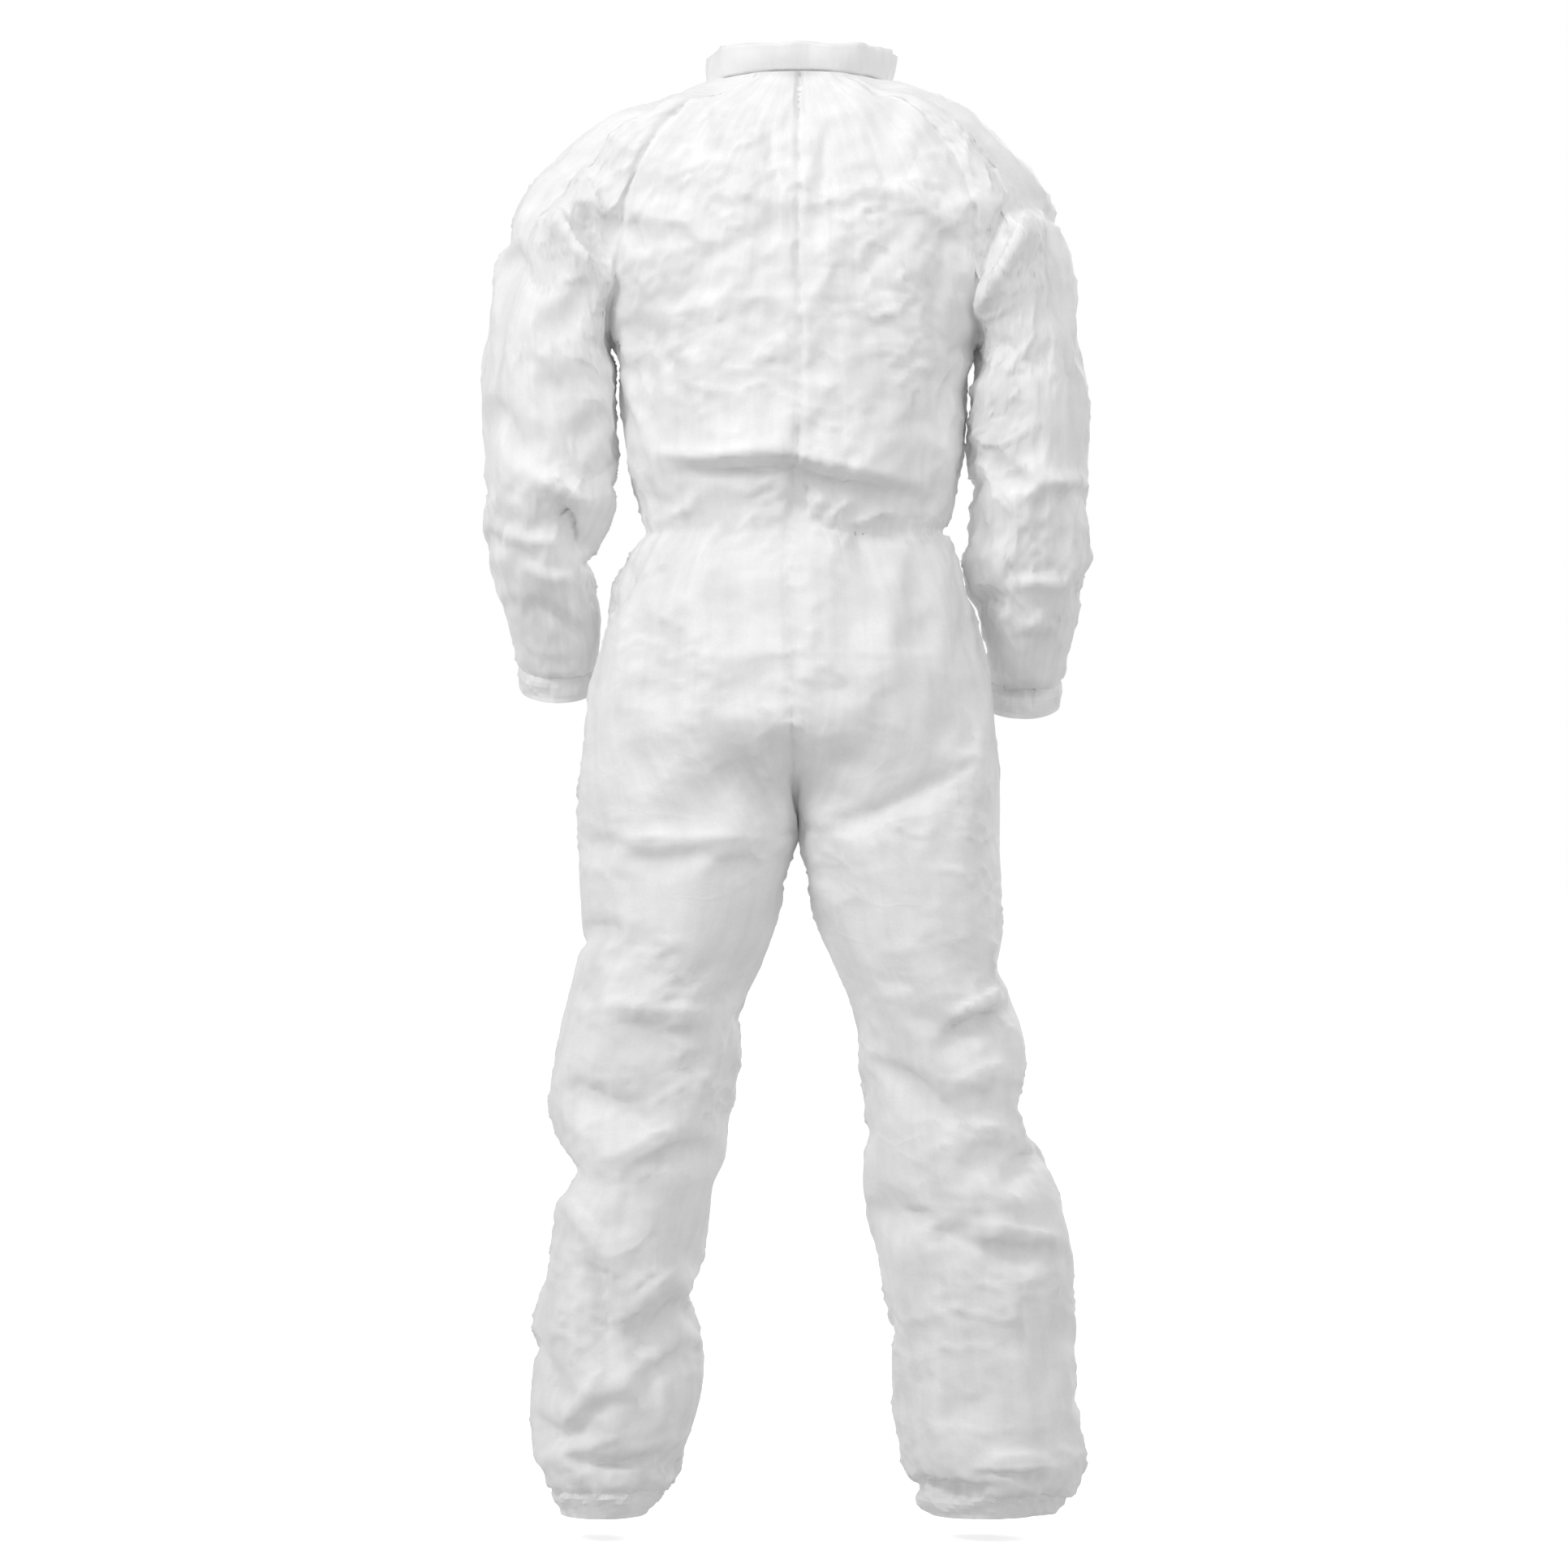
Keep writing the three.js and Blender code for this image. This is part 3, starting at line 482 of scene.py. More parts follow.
fold("left_back", -0.006, 0.016, 0.012, (0.108, -1.330), (0.150, -1.362), (0.178, -1.420))
fold("left_back", -0.004, 0.014, 0.010, (0.150, -1.455), (0.196, -1.462), (0.250, -1.456))
# right leg
fold("right_back", -0.012, 0.009, 0.016, (-0.140, -1.022), (-0.180, -1.000), (-0.228, -0.984))
fold("right_back", 0.010, 0.016, 0.008, (-0.150, -0.998), (-0.186, -0.976), (-0.226, -0.962))
fold("right_back", 0.006, 0.010, 0.008, (-0.158, -1.060), (-0.196, -1.044), (-0.232, -1.040))
fold("right_back", -0.007, 0.018, 0.012, (-0.076, -1.030), (-0.112, -1.052), (-0.160, -1.092),
     (-0.206, -1.120), (-0.240, -1.124))
fold("right_back", 0.008, 0.010, 0.010, (-0.138, -1.076), (-0.176, -1.106), (-0.236, -1.112))
fold("right_back", -0.007, 0.008, 0.008, (-0.216, -1.148), (-0.238, -1.140), (-0.262, -1.136))
fold("right_back", 0.008, 0.012, 0.010, (-0.170, -1.152), (-0.206, -1.170), (-0.246, -1.194))
fold("right_back", -0.004, 0.006, 0.006, (-0.100, -1.196), (-0.122, -1.198), (-0.144, -1.196))
fold("right_back", 0.007, 0.008, 0.012, (-0.164, -1.206), (-0.214, -1.212), (-0.262, -1.222),
     (-0.282, -1.232))
fold("right_back", -0.006, 0.010, 0.008, (-0.180, -1.222), (-0.220, -1.236), (-0.262, -1.240))
fold("right_back", -0.004, 0.016, 0.014, (-0.240, -1.262), (-0.256, -1.330), (-0.262, -1.400))
fold("right_back", 0.006, 0.007, 0.012, (-0.180, -1.452), (-0.226, -1.452), (-0.276, -1.456))
fold("right_back", -0.009, 0.012, 0.008, (-0.112, -1.474), (-0.150, -1.484), (-0.192, -1.482))
fold("right_back", 0.005, 0.012, 0.010, (-0.186, -1.462), (-0.226, -1.480), (-0.268, -1.500))
# the front: elbows, hips and knees
fold("left_sleeve", -0.013, 0.014, 0.010, (0.318, -0.418), (0.262, -0.440), (0.206, -0.430), front=True)
fold("left_sleeve", 0.006, 0.012, 0.012, (0.310, -0.385), (0.270, -0.412), (0.215, -0.400), front=True)
fold("left_sleeve", 0.010, 0.020, 0.012, (0.290, -0.150), (0.245, -0.205), (0.205, -0.240), front=True)
fold("right_sleeve", -0.013, 0.010, 0.014, (-0.292, -0.420), (-0.240, -0.444), (-0.190, -0.432), front=True)
fold("right_sleeve", 0.006, 0.012, 0.012, (-0.288, -0.390), (-0.240, -0.410), (-0.192, -0.404), front=True)
fold("right_sleeve", 0.010, 0.012, 0.020, (-0.270, -0.150), (-0.225, -0.210), (-0.192, -0.250), front=True)
fold("front", 0.008, 0.008, 0.024, (0.158, -0.410), (0.100, -0.420), (0.040, -0.424), front=True)
fold("front", 0.008, 0.024, 0.008, (-0.150, -0.414), (-0.096, -0.424), (-0.040, -0.428), front=True)
fold("front", -0.008, 0.018, 0.014, (0.200, -0.700), (0.130, -0.752), (0.050, -0.790), front=True)
fold("front", -0.008, 0.014, 0.018, (-0.190, -0.700), (-0.120, -0.750), (-0.046, -0.788), front=True)
fold("front", 0.005, 0.016, 0.016, (0.190, -0.738), (0.120, -0.790), (0.050, -0.830), front=True)
fold("front", 0.005, 0.016, 0.016, (-0.180, -0.738), (-0.112, -0.788), (-0.046, -0.826), front=True)
fold("front", -0.007, 0.016, 0.012, (0.240, -1.130), (0.180, -1.150), (0.100, -1.138), front=True)
fold("front", -0.007, 0.012, 0.016, (-0.238, -1.140), (-0.170, -1.158), (-0.086, -1.140), front=True)
fold("front", 0.007, 0.014, 0.014, (0.256, -1.300), (0.190, -1.360), (0.124, -1.390), front=True)
fold("front", 0.007, 0.014, 0.014, (-0.270, -1.310), (-0.200, -1.360), (-0.120, -1.390), front=True)
fold("front", -0.006, 0.012, 0.010, (0.262, -1.430), (0.200, -1.452), (0.140, -1.440), front=True)
fold("front", -0.006, 0.012, 0.010, (-0.280, -1.430), (-0.210, -1.456), (-0.130, -1.444), front=True)

def lineDistance(x, z, line):
    best = np.full(len(x), 1e9)
    signed = np.zeros(len(x))
    along = np.zeros(len(x))
    lengths = [math.dist(a, b) for a, b in zip(line, line[1:])]
    total, done = sum(lengths), 0.0
    for (ax, az), (bx, bz), length in zip(line, line[1:], lengths):
        dx, dz = (bx - ax) / length, (bz - az) / length
        t = (x - ax) * dx + (z - az) * dz
        k = np.clip(t, 0, length)
        d = np.hypot(x - ax - k * dx, z - az - k * dz)
        cross = dx * (z - az) - dz * (x - ax)
        near = d < best
        best = np.where(near, d, best)
        signed = np.where(near, np.where(cross >= 0, d, -d), signed)
        along = np.where(near, (done + k) / total, along)
        done += length
    return signed, along


def membership(mesh):
    pieces = np.zeros(len(mesh.polygons), np.int32)
    mesh.attributes["piece"].data.foreach_get("value", pieces)
    loops = np.zeros(len(mesh.loops), np.int32)
    mesh.loops.foreach_get("vertex_index", loops)
    counts = np.zeros(len(mesh.polygons), np.int32)
    mesh.polygons.foreach_get("loop_total", counts)
    member = np.zeros((len(panelNames), len(mesh.vertices)), bool)
    member[np.repeat(pieces, counts), loops] = True
    return member


def pointsOf(mesh):
    co = np.zeros(len(mesh.vertices) * 3, np.float32)
    mesh.vertices.foreach_get("co", co)
    return co.reshape(-1, 3).astype(float)


def normalsOf(mesh):
    n = np.zeros(len(mesh.vertices) * 3, np.float32)
    mesh.vertex_normals.foreach_get("vector", n)
    return n.reshape(-1, 3).astype(float)


def setPoints(mesh, co):
    mesh.vertices.foreach_set("co", co.astype(np.float32).ravel())
    mesh.update()


foldBoost = 1.5  # the drape takes part of each fold away again
foldEnds = 0.36  # share of a fold's length that each end fades over


def foldHeights(mesh, share=1.0, sharper=1.0):
    co, normals, member = pointsOf(mesh), normalsOf(mesh), membership(mesh)
    height = np.zeros(len(co))
    for one in foldLines:
        facing = -1 if one["front"] else 1
        names = [k for k, n in enumerate(panelNames) if one["on"] in n]
        mask = member[names].any(0) & (normals[:, 1] * facing > -0.25)
        d, along = lineDistance(co[mask, 0], co[mask, 2], one["line"])
        ends = smooth(along, 0, foldEnds) * smooth(1 - along, 0, foldEnds)
        fade = np.where(d > 0, one["wide"], one["steep"]) / sharper
        side = smooth(normals[mask, 1] * facing, -0.25, 0.25)
        height[mask] += share * foldBoost * one["rise"] * ends * side * np.exp(-abs(d) / fade)
    return height


def noiseAt(co, size, seed, octaves=2):
    offset = Vector((seed * 7.31, seed * 3.17, seed * 5.77))
    values = np.empty(len(co))
    for k, p in enumerate(co / size):
        values[k] = noise.fractal(Vector(p) + offset, 1.0, 2.1, octaves)
    return values


drape = {
    "frames": 26,
    "ease": -0.038,  # how much bigger the cloth is than the shape it fills
    "gatherEase": -0.15,  # the same near the elastics
    "hold": 0.12,
    "torsoHold": 0.21,
    "sleeveHold": 0.17,
    "sleeveEnd": 0.42,
    "gravity": 0.2,
    "softRoll": (0.105, 0.0035),  # size and height of the slow unevenness
    "farthest": 0.022,
    "waistReach": 0.030,  # how far above and below the elastics the cloth is gathered
    "ankle": (-1.505, 0.045),
    "waistGrip": (0.006, 0.5),  # reach and strength of the hold at the waist
    "sleeveEndFrom": (0.52, 0.60),
    "quality": 5,
    "mass": 0.12,
    "air": 2.0,
    "stretch": 28,
    "shear": 14,
    "bending": 1.6,
    "damping": 8,
}


def armsOf(mesh):
    return membership(mesh)[[k for k, n in enumerate(panelNames) if "sleeve" in n or "wrist" in n]].any(0)


def nearZip(co):
    front = (co[:, 1] < -0.07) & (co[:, 2] > zipEnd - 0.03)
    return front * (1 - smooth(abs(co[:, 0]), 0.030, 0.052)) * smooth(co[:, 2], zipEnd - 0.03, zipEnd + 0.01)


def edgeHold(mesh, co):
    loops = np.zeros(len(mesh.loops), np.int32)
    mesh.loops.foreach_get("edge_index", loops)
    ends = np.zeros(len(mesh.edges) * 2, np.int32)
    mesh.edges.foreach_get("vertices", ends)
    open1 = np.bincount(loops, minlength=len(mesh.edges)) == 1
    still = np.zeros(len(co))
    still[ends.reshape(-1, 2)[open1].ravel()] = 1
    return np.maximum(still, nearZip(co))


def drapeShell(shell):
    mesh = shell.data
    co = pointsOf(mesh)
    roll = noiseAt(co * np.array([1.0, 1.0, 0.55]), drape["softRoll"][0], 3) * drape["softRoll"][1]
    still = edgeHold(mesh, co)
    setPoints(mesh, co + normalsOf(mesh) * ((roll + foldHeights(mesh)) * (1 - still))[:, None])
    z, arm = co[:, 2], armsOf(mesh)
    nearWaist = np.exp(-(((z - suitSize["waist"]) / drape["waistReach"]) ** 2)) * ~arm
    ankleHeight, ankleReach = drape["ankle"]
    nearAnkle = np.exp(-(((z - ankleHeight) / ankleReach) ** 2))
    ease = np.clip(nearWaist + nearAnkle, 0, 1)
    gripReach, grip = drape["waistGrip"]
    waistHold = np.exp(-(((z - suitSize["waist"]) / gripReach) ** 2)) * ~arm * grip
    torsoHold = (z > suitSize["waist"]) * ~arm * drape["torsoHold"]
    downSleeve = smooth(-z, *drape["sleeveEndFrom"])
    sleeveHold = (drape["sleeveHold"] + downSleeve * (drape["sleeveEnd"] - drape["sleeveHold"])) * arm
    pin = np.maximum.reduce([np.full(len(co), drape["hold"]), still, waistHold, torsoHold, sleeveHold])
    hold = shell.vertex_groups.new(name="hold")
    gather = shell.vertex_groups.new(name="gather")
    for k in range(len(co)):
        hold.add([k], float(pin[k]), "REPLACE")
        gather.add([k], float(ease[k]), "REPLACE")
    before = pointsOf(mesh)
    cloth = shell.modifiers.new("drape", "CLOTH")
    cloth.point_cache.frame_start, cloth.point_cache.frame_end = 1, drape["frames"]
    s = cloth.settings
    s.quality, s.mass, s.air_damping = drape["quality"], drape["mass"], drape["air"]
    s.tension_stiffness = s.compression_stiffness = drape["stretch"]
    s.shear_stiffness, s.bending_stiffness = drape["shear"], drape["bending"]
    s.tension_damping = s.compression_damping = drape["damping"]
    s.vertex_group_mass, s.pin_stiffness = "hold", 1.0
    s.shrink_min, s.shrink_max, s.vertex_group_shrink = drape["ease"], drape["gatherEase"], "gather"
    s.effector_weights.gravity = drape["gravity"]
    cloth.collision_settings.use_collision = False
    scene = bpy.context.scene
    for f in range(1, drape["frames"] + 1):
        scene.frame_set(f)
    settled = bpy.data.meshes.new_from_object(shell.evaluated_get(bpy.context.evaluated_depsgraph_get()))
    moved = pointsOf(settled) - before
    far = np.linalg.norm(moved, axis=1)
    print("drape moved", round(far.mean() * 1000, 2), "mm on average,", round(far.max() * 1000, 2), "at most")
    moved *= (np.minimum(far, drape["farthest"]) / np.maximum(far, 1e-9))[:, None]
    shell.modifiers.clear()
    shell.vertex_groups.clear()
    scene.frame_set(1)
    setPoints(mesh, before + moved)


crumple = {
    "facets": (0.105, 0.0042),  # size and height of the broad flat patches between creases
    "creases": (0.052, 0.0034, 0.065),  # size, height and width of the thin raised creases
    "small": (0.024, 0.0016, 0.12),
    "fold": (0.6, 2.2),  # share and sharpness of the folds that are added again after the drape
    "seam": (0.0034, 0.0038),  # depth and width of the valley along a seam
    "pack": (0.0011, 0.0035),  # height and width of the lines left by the folded pack
    "calm": (0.13, 1.5, 0.55, 0.12),  # size, contrast, middle and least of the busier and calmer areas
    "busiest": 0.85,
    "busyRows": ((-0.44, 0.05), (-0.30, 0.05), (-1.10, 0.09), (-1.47, 0.07), (-0.20, 0.06)),
    "busyOutside": 0.11,
    "pucker": (0.9, 0.012),  # unevenness of the valley along a seam, and its size
}
# Ripples at the elastics: their height on the suit, reach, rise and pitch, the middle of the ring they run
# round, and the depth of the elastic's groove.
gathers = [
    {"at": suitSize["waist"], "reach": 0.026, "rise": 0.0016, "pitch": 0.017, "middle": 0.0, "groove": 0.0012},
    {"at": -1.488, "reach": 0.026, "rise": 0.0020, "pitch": 0.019, "middle": 0.200, "groove": 0.0},
]
grooveWidth = 0.0035
packLines = [  # x, or height, of each line and the stretch it runs for
    {"x": -0.032, "from": -0.262, "to": -0.770}, {"x": 0.036, "from": -0.200, "to": -0.640},
    {"z": -0.241, "from": -0.125, "to": 0.100}, {"z": -0.613, "from": -0.150, "to": 0.090},
    {"z": -0.805, "from": 0.040, "to": 0.194}, {"z": -0.765, "from": -0.050, "to": -0.012},
    {"z": -1.190, "from": -0.110, "to": -0.250}, {"z": -0.985, "from": 0.060, "to": 0.240},
]


def packHeights(co, normals):
    rise, wide = crumple["pack"]
    height = np.zeros(len(co))
    for line in packLines:
        across, along = (0, 2) if "x" in line else (2, 0)
        low, high = sorted((line["from"], line["to"]))
        d = co[:, across] - line["x" if "x" in line else "z"]
        inside = smooth(co[:, along], low - 0.01, low + 0.03)
        inside = inside * smooth(-co[:, along], -high - 0.01, -high + 0.03)
        height += rise * inside * np.exp(-((d / wide) ** 2)) * (normals[:, 1] > 0.3)
    return height


def gatherHeights(mesh, co):
    # little pleats that run up and down from each elastic
    height = np.zeros(len(co))
    body = ~armsOf(mesh)
    wander = noiseAt(co * np.array([1, 1, 0.3]), 0.05, 41, 1)
    for g in gathers:
        across = co[:, 0] - np.sign(co[:, 0]) * g["middle"]
        run = np.arctan2(co[:, 1], across) * np.hypot(co[:, 1], across).clip(0.05, 0.2)
        ripple = np.sin(run * 2 * math.pi / g["pitch"] + wander * 5) * (0.6 + 0.8 * wander)
        away = co[:, 2] - g["at"]
        height += body * g["rise"] * ripple * np.exp(-((away / g["reach"]) ** 2))
        height -= body * g["groove"] * np.exp(-((away / grooveWidth) ** 2))
    return height


def refine(shell):
    sub = shell.modifiers.new("refine", "SUBSURF")
    sub.levels = sub.render_levels = 1
    mesh = bpy.data.meshes.new_from_object(shell.evaluated_get(bpy.context.evaluated_depsgraph_get()))
    shell.modifiers.clear()
    shell.data = mesh
    co, normals = pointsOf(mesh), normalsOf(mesh)
    still = edgeHold(mesh, co)
    size, contrast, middle, least = crumple["calm"]
    busy = np.clip(noiseAt(co, size, 11, 2) * contrast + middle, least, 1)
    outside = abs(co[:, 0]) > crumple["busyOutside"]
    for height, spread in crumple["busyRows"]:
        row = crumple["busiest"] * np.exp(-(((co[:, 2] - height) / spread) ** 2))
        busy = np.maximum(busy, row * outside)
    size, tall = crumple["facets"]
    lift = -abs(noiseAt(co * np.array([1.0, 1.0, 0.8]), size, 21)) * tall * 2 * (0.4 + 0.6 * busy)
    for kind, seed, stretch in (("creases", 5, (1.0, 1.0, 1.35)), ("small", 9, (0.8, 1.0, 1.2))):
        size, tall, wide = crumple[kind]
        lift += np.exp(-abs(noiseAt(co * np.array(stretch), size, seed)) / wide) * tall * busy
    share, sharper = crumple["fold"]
    lift += foldHeights(mesh, share, sharper) + packHeights(co, normals) + gatherHeights(mesh, co)
    seams = membership(mesh).sum(0) > 1
    tree = kdtree.KDTree(int(seams.sum()))
    for k in np.nonzero(seams)[0]:
        tree.insert(co[k], int(k))
    tree.balance()
    depth, wide = crumple["seam"]
    near = np.array([tree.find(p)[2] for p in co])
    uneven, size = crumple["pucker"]
    pucker = 1 + uneven * noiseAt(co, size, 31, 1)
    lift -= depth * np.exp(-((near / wide) ** 2)) * pucker
    setPoints(mesh, co + normals * (lift * (1 - still))[:, None])


class Sock:
    def __init__(self, tree, socket):
        self.tree, self.socket = tree, socket

    def math(self, operation, *others):
        node = self.tree.nodes.new("ShaderNodeMath")
        node.operation = operation
        for k, value in enumerate((self, *others)):
            if isinstance(value, Sock):
                self.tree.links.new(value.socket, node.inputs[k])
            else:
                node.inputs[k].default_value = value
        return Sock(self.tree, node.outputs[0])

    def __add__(self, other):
        return self.math("ADD", other)

    __radd__ = __add__

    def __mul__(self, other):
        return self.math("MULTIPLY", other)

    __rmul__ = __mul__

    def __sub__(self, other):
        return self.math("SUBTRACT", other)

    def __rsub__(self, other):
        return self.math("MULTIPLY", -1.0).math("ADD", other)


class Finish:
    def __init__(self, name):
        self.material = bpy.data.materials.new(name)
        self.material.use_nodes = True
        self.tree = self.material.node_tree
        self.tree.nodes.clear()
        self.out = self.tree.nodes.new("ShaderNodeOutputMaterial")
        self.cloth = self.node("ShaderNodeUVMap", {"uv_map": "cloth"}).out("UV")

    def node(self, kind, settings=None, **inputs):
        made = self.tree.nodes.new(kind)
        for key, value in (settings or {}).items():
            if key == "stops":
                ramp = made.color_ramp
                while len(ramp.elements) < len(value):
                    ramp.elements.new(0.5)
                for element, (place, shade) in zip(ramp.elements, value):
                    element.position, element.color = place, (shade, shade, shade, 1)
            else:
                setattr(made, key, value)
        for key, value in inputs.items():
            numbered = key[0] == "_" and key[1:].isdigit()
            socket = made.inputs[int(key[1:]) if numbered else key.replace("_", " ")]
            if isinstance(value, Sock):
                self.tree.links.new(value.socket, socket)
            else:
                socket.default_value = value
        return Made(self.tree, made)


class Made:
    def __init__(self, tree, node):
        self.tree, self.node = tree, node

    def out(self, name=0):
        return Sock(self.tree, self.node.outputs[name])


def nonwovenFinish():
    # pressed fibre cloth: cloudy thickness, drawn streaks, a fine emboss and hard little creases
    f = Finish("nonwoven")
    cloud = f.node("ShaderNodeTexNoise", Vector=f.cloth, Scale=13.0, Detail=5.0, Roughness=0.62).out("Fac")
    fibre = f.node("ShaderNodeTexNoise", Vector=f.cloth, Scale=420.0, Detail=3.0, Roughness=0.7).out("Fac")
    stretch = f.node("ShaderNodeMapping", Vector=f.cloth, Scale=(1.0, 0.14, 1.0)).out("Vector")
    streak = f.node("ShaderNodeTexNoise", Vector=stretch, Scale=62.0, Detail=3.0, Roughness=0.55).out("Fac")
    wander = f.node("ShaderNodeTexNoise", Vector=f.cloth, Scale=8.0, Detail=3.0, Roughness=0.5).out("Color")
    value = cloud * 0.50 + streak * 0.32 + fibre * 0.18
    shades = shadesOf(f, value, 0.76, 0.90, 0.36, 0.62)
    bent = f.node("ShaderNodeVectorMath", {"operation": "MULTIPLY_ADD"}, _0=wander, _1=(0.07, 0.07, 0.0),
                  _2=f.cloth).out("Vector")
    crackle = f.node("ShaderNodeTexNoise", {"noise_type": "RIDGED_MULTIFRACTAL"}, Vector=bent, Scale=26.0,
                     Detail=3.0, Roughness=0.5, Lacunarity=2.2).out("Fac")
    cells = f.node("ShaderNodeTexVoronoi", {"feature": "DISTANCE_TO_EDGE"}, Vector=bent, Scale=22.0)
    edges = cells.out("Distance").math("MINIMUM", 0.10)
    patch = f.node("ShaderNodeTexNoise", Vector=f.cloth, Scale=6.5, Detail=2.0).out("Fac")
    patch = f.node("ShaderNodeMapRange", {"interpolation_type": "SMOOTHSTEP"}, Value=patch, From_Min=0.42,
                   From_Max=0.62, To_Min=0.25, To_Max=1.0).out("Result")
    dots = f.node("ShaderNodeTexVoronoi", Vector=f.cloth, Scale=620.0).out("Distance")
    height = (crackle * 0.0008 - edges * 0.005) * patch + dots * 0.00009 + fibre * 0.00012 + streak * 0.0006
    bump = f.node("ShaderNodeBump", Strength=0.6, Distance=1.0, Height=height).out("Normal")
    return finishWith(f, shades, 0.68, bump, Specular_IOR_Level=0.35, Sheen_Weight=0.08)


def finishWith(f, color, roughness, bump, **more):
    shader = f.node("ShaderNodeBsdfPrincipled", Base_Color=color, Roughness=roughness, Normal=bump, **more)
    f.tree.links.new(shader.node.outputs[0], f.out.inputs[0])
    return f.material


def shadesOf(f, value, low, high, start=0.3, end=0.7):
    return f.node("ShaderNodeValToRGB", {"stops": [(start, low), (end, high)]}, Fac=value).out("Color")


def ribbedFinish(name, pitch, low, high, depth):
    # woven or knitted tape: ribs along it, crossed by finer threads
    f = Finish(name)
    split = f.node("ShaderNodeSeparateXYZ", Vector=f.cloth)
    u, v = split.out("X"), split.out("Y")
    ribs = (v * (2 * math.pi / pitch)).math("SINE")
    threads = (u * (2 * math.pi / (pitch * 0.6))).math("SINE")
    wear = f.node("ShaderNodeTexNoise", Vector=f.cloth, Scale=90.0, Detail=3.0).out("Fac")
    height = (ribs * 0.6 + threads * 0.4) * depth
    bump = f.node("ShaderNodeBump", Strength=0.8, Distance=1.0, Height=height).out("Normal")
    return finishWith(f, shadesOf(f, wear, low, high), 0.8, bump)


def hardFinish(name, low, high, roughness, coat=0.0, metallic=0.0):
    f = Finish(name)
    place = f.node("ShaderNodeTexCoord").out("Object")
    grain = f.node("ShaderNodeTexNoise", Vector=place, Scale=900.0, Detail=3.0).out("Fac")
    wear = f.node("ShaderNodeTexNoise", Vector=place, Scale=120.0, Detail=3.0).out("Fac")
    bump = f.node("ShaderNodeBump", Strength=0.25, Distance=1.0, Height=grain * 0.00004).out("Normal")
    return finishWith(f, shadesOf(f, wear, low, high), wear * 0.12 + roughness, bump,
                      Coat_Weight=coat, Metallic=metallic)


def hemFinish(name, rows):
    # the nonwoven with rows of stitches at the given distances from the hem's upper edge
    f = Finish(name)
    split = f.node("ShaderNodeSeparateXYZ", Vector=f.cloth)
    u, v = split.out("X"), split.out("Y")
    cloud = f.node("ShaderNodeTexNoise", Vector=f.cloth, Scale=22.0, Detail=4.0).out("Fac")
    fibre = f.node("ShaderNodeTexNoise", Vector=f.cloth, Scale=260.0, Detail=3.0).out("Fac")
    stitchLength = 0.0034
    dash = (u * (1 / stitchLength)).math("FRACT").math("GREATER_THAN", 0.22)
    line = None
    for row in rows:
        near = (v - row).math("ABSOLUTE").math("LESS_THAN", 0.0007)
        line = near if line is None else line.math("MAXIMUM", near)
    stitches = line * dash
    gathers = f.node("ShaderNodeTexNoise", Vector=f.node("ShaderNodeMapping", Vector=f.cloth,
                     Scale=(1.0, 0.2, 1.0)).out("Vector"), Scale=110.0, Detail=2.0).out("Fac")
    height = stitches * 0.0004 - line * 0.0005 + gathers * 0.0016 + fibre * 0.0001
    bump = f.node("ShaderNodeBump", Strength=0.6, Distance=1.0, Height=height).out("Normal")
    value = cloud * 0.8 + 0.1 + stitches * 0.10 - line * 0.06
    return finishWith(f, shadesOf(f, value, 0.78, 0.88), 0.72, bump)


def labelFinish():
    # a blank woven label: a plain border and two plain bars
    f = Finish("label")
    split = f.node("ShaderNodeSeparateXYZ", Vector=f.cloth)
    u, v = split.out("X"), split.out("Y")
    bars = (v * (1 / 0.006)).math("FRACT").math("LESS_THAN", 0.22)
    inside = u.math("GREATER_THAN", 0.005) * u.math("LESS_THAN", 0.034)
    bars = bars * inside * v.math("GREATER_THAN", 0.006) * v.math("LESS_THAN", 0.022)
    weave = (u * 5200.0).math("SINE") * (v * 5200.0).math("SINE")
    bump = f.node("ShaderNodeBump", Strength=0.5, Distance=1.0, Height=weave * 0.00012).out("Normal")
    return finishWith(f, shadesOf(f, bars, 0.86, 0.62, 0.0, 1.0), 0.6, bump)


finishes = {
    "nonwoven": nonwovenFinish(),
    "wristHem": hemFinish("wrist_hem_cloth", (0.0025, 0.0045)),
    "ankleHem": hemFinish("ankle_hem_cloth", (0.0025, 0.0045)),
    "collar": hemFinish("collar_cloth", (0.003, 0.0265)),
    "flap": hemFinish("flap_cloth", (0.006, 0.0435)),
    "elastic": ribbedFinish("elastic", 0.0013, 0.72, 0.84, 0.0005),
    "ribbon": ribbedFinish("zip_ribbon", 0.0009, 0.74, 0.86, 0.0003),
    "teeth": hardFinish("zip_teeth", 0.78, 0.86, 0.30, 0.15),
    "hardware": hardFinish("zip_hardware", 0.72, 0.80, 0.24, 0.5),
    "label": labelFinish(),
}


# ---- pieces of the suit


def newPiece(name, points, faces, uvs=None, finish=None, rides="suit", replaces=()):
    mesh = bpy.data.meshes.new(name)
    mesh.from_pydata([tuple(p) for p in points], [], faces)
    if uvs is not None:
        mesh.uv_layers.new(name="cloth").data.foreach_set("uv", np.array(uvs, np.float32).ravel())
    mesh.materials.append(finish)
    mesh.polygons.foreach_set("use_smooth", [True] * len(mesh.polygons))
    piece = bpy.data.objects.new(name, mesh)
    bpy.context.scene.collection.objects.link(piece)
    if rides:
        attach(piece, rides)
    for node in replaces:
        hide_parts(node)
    return piece


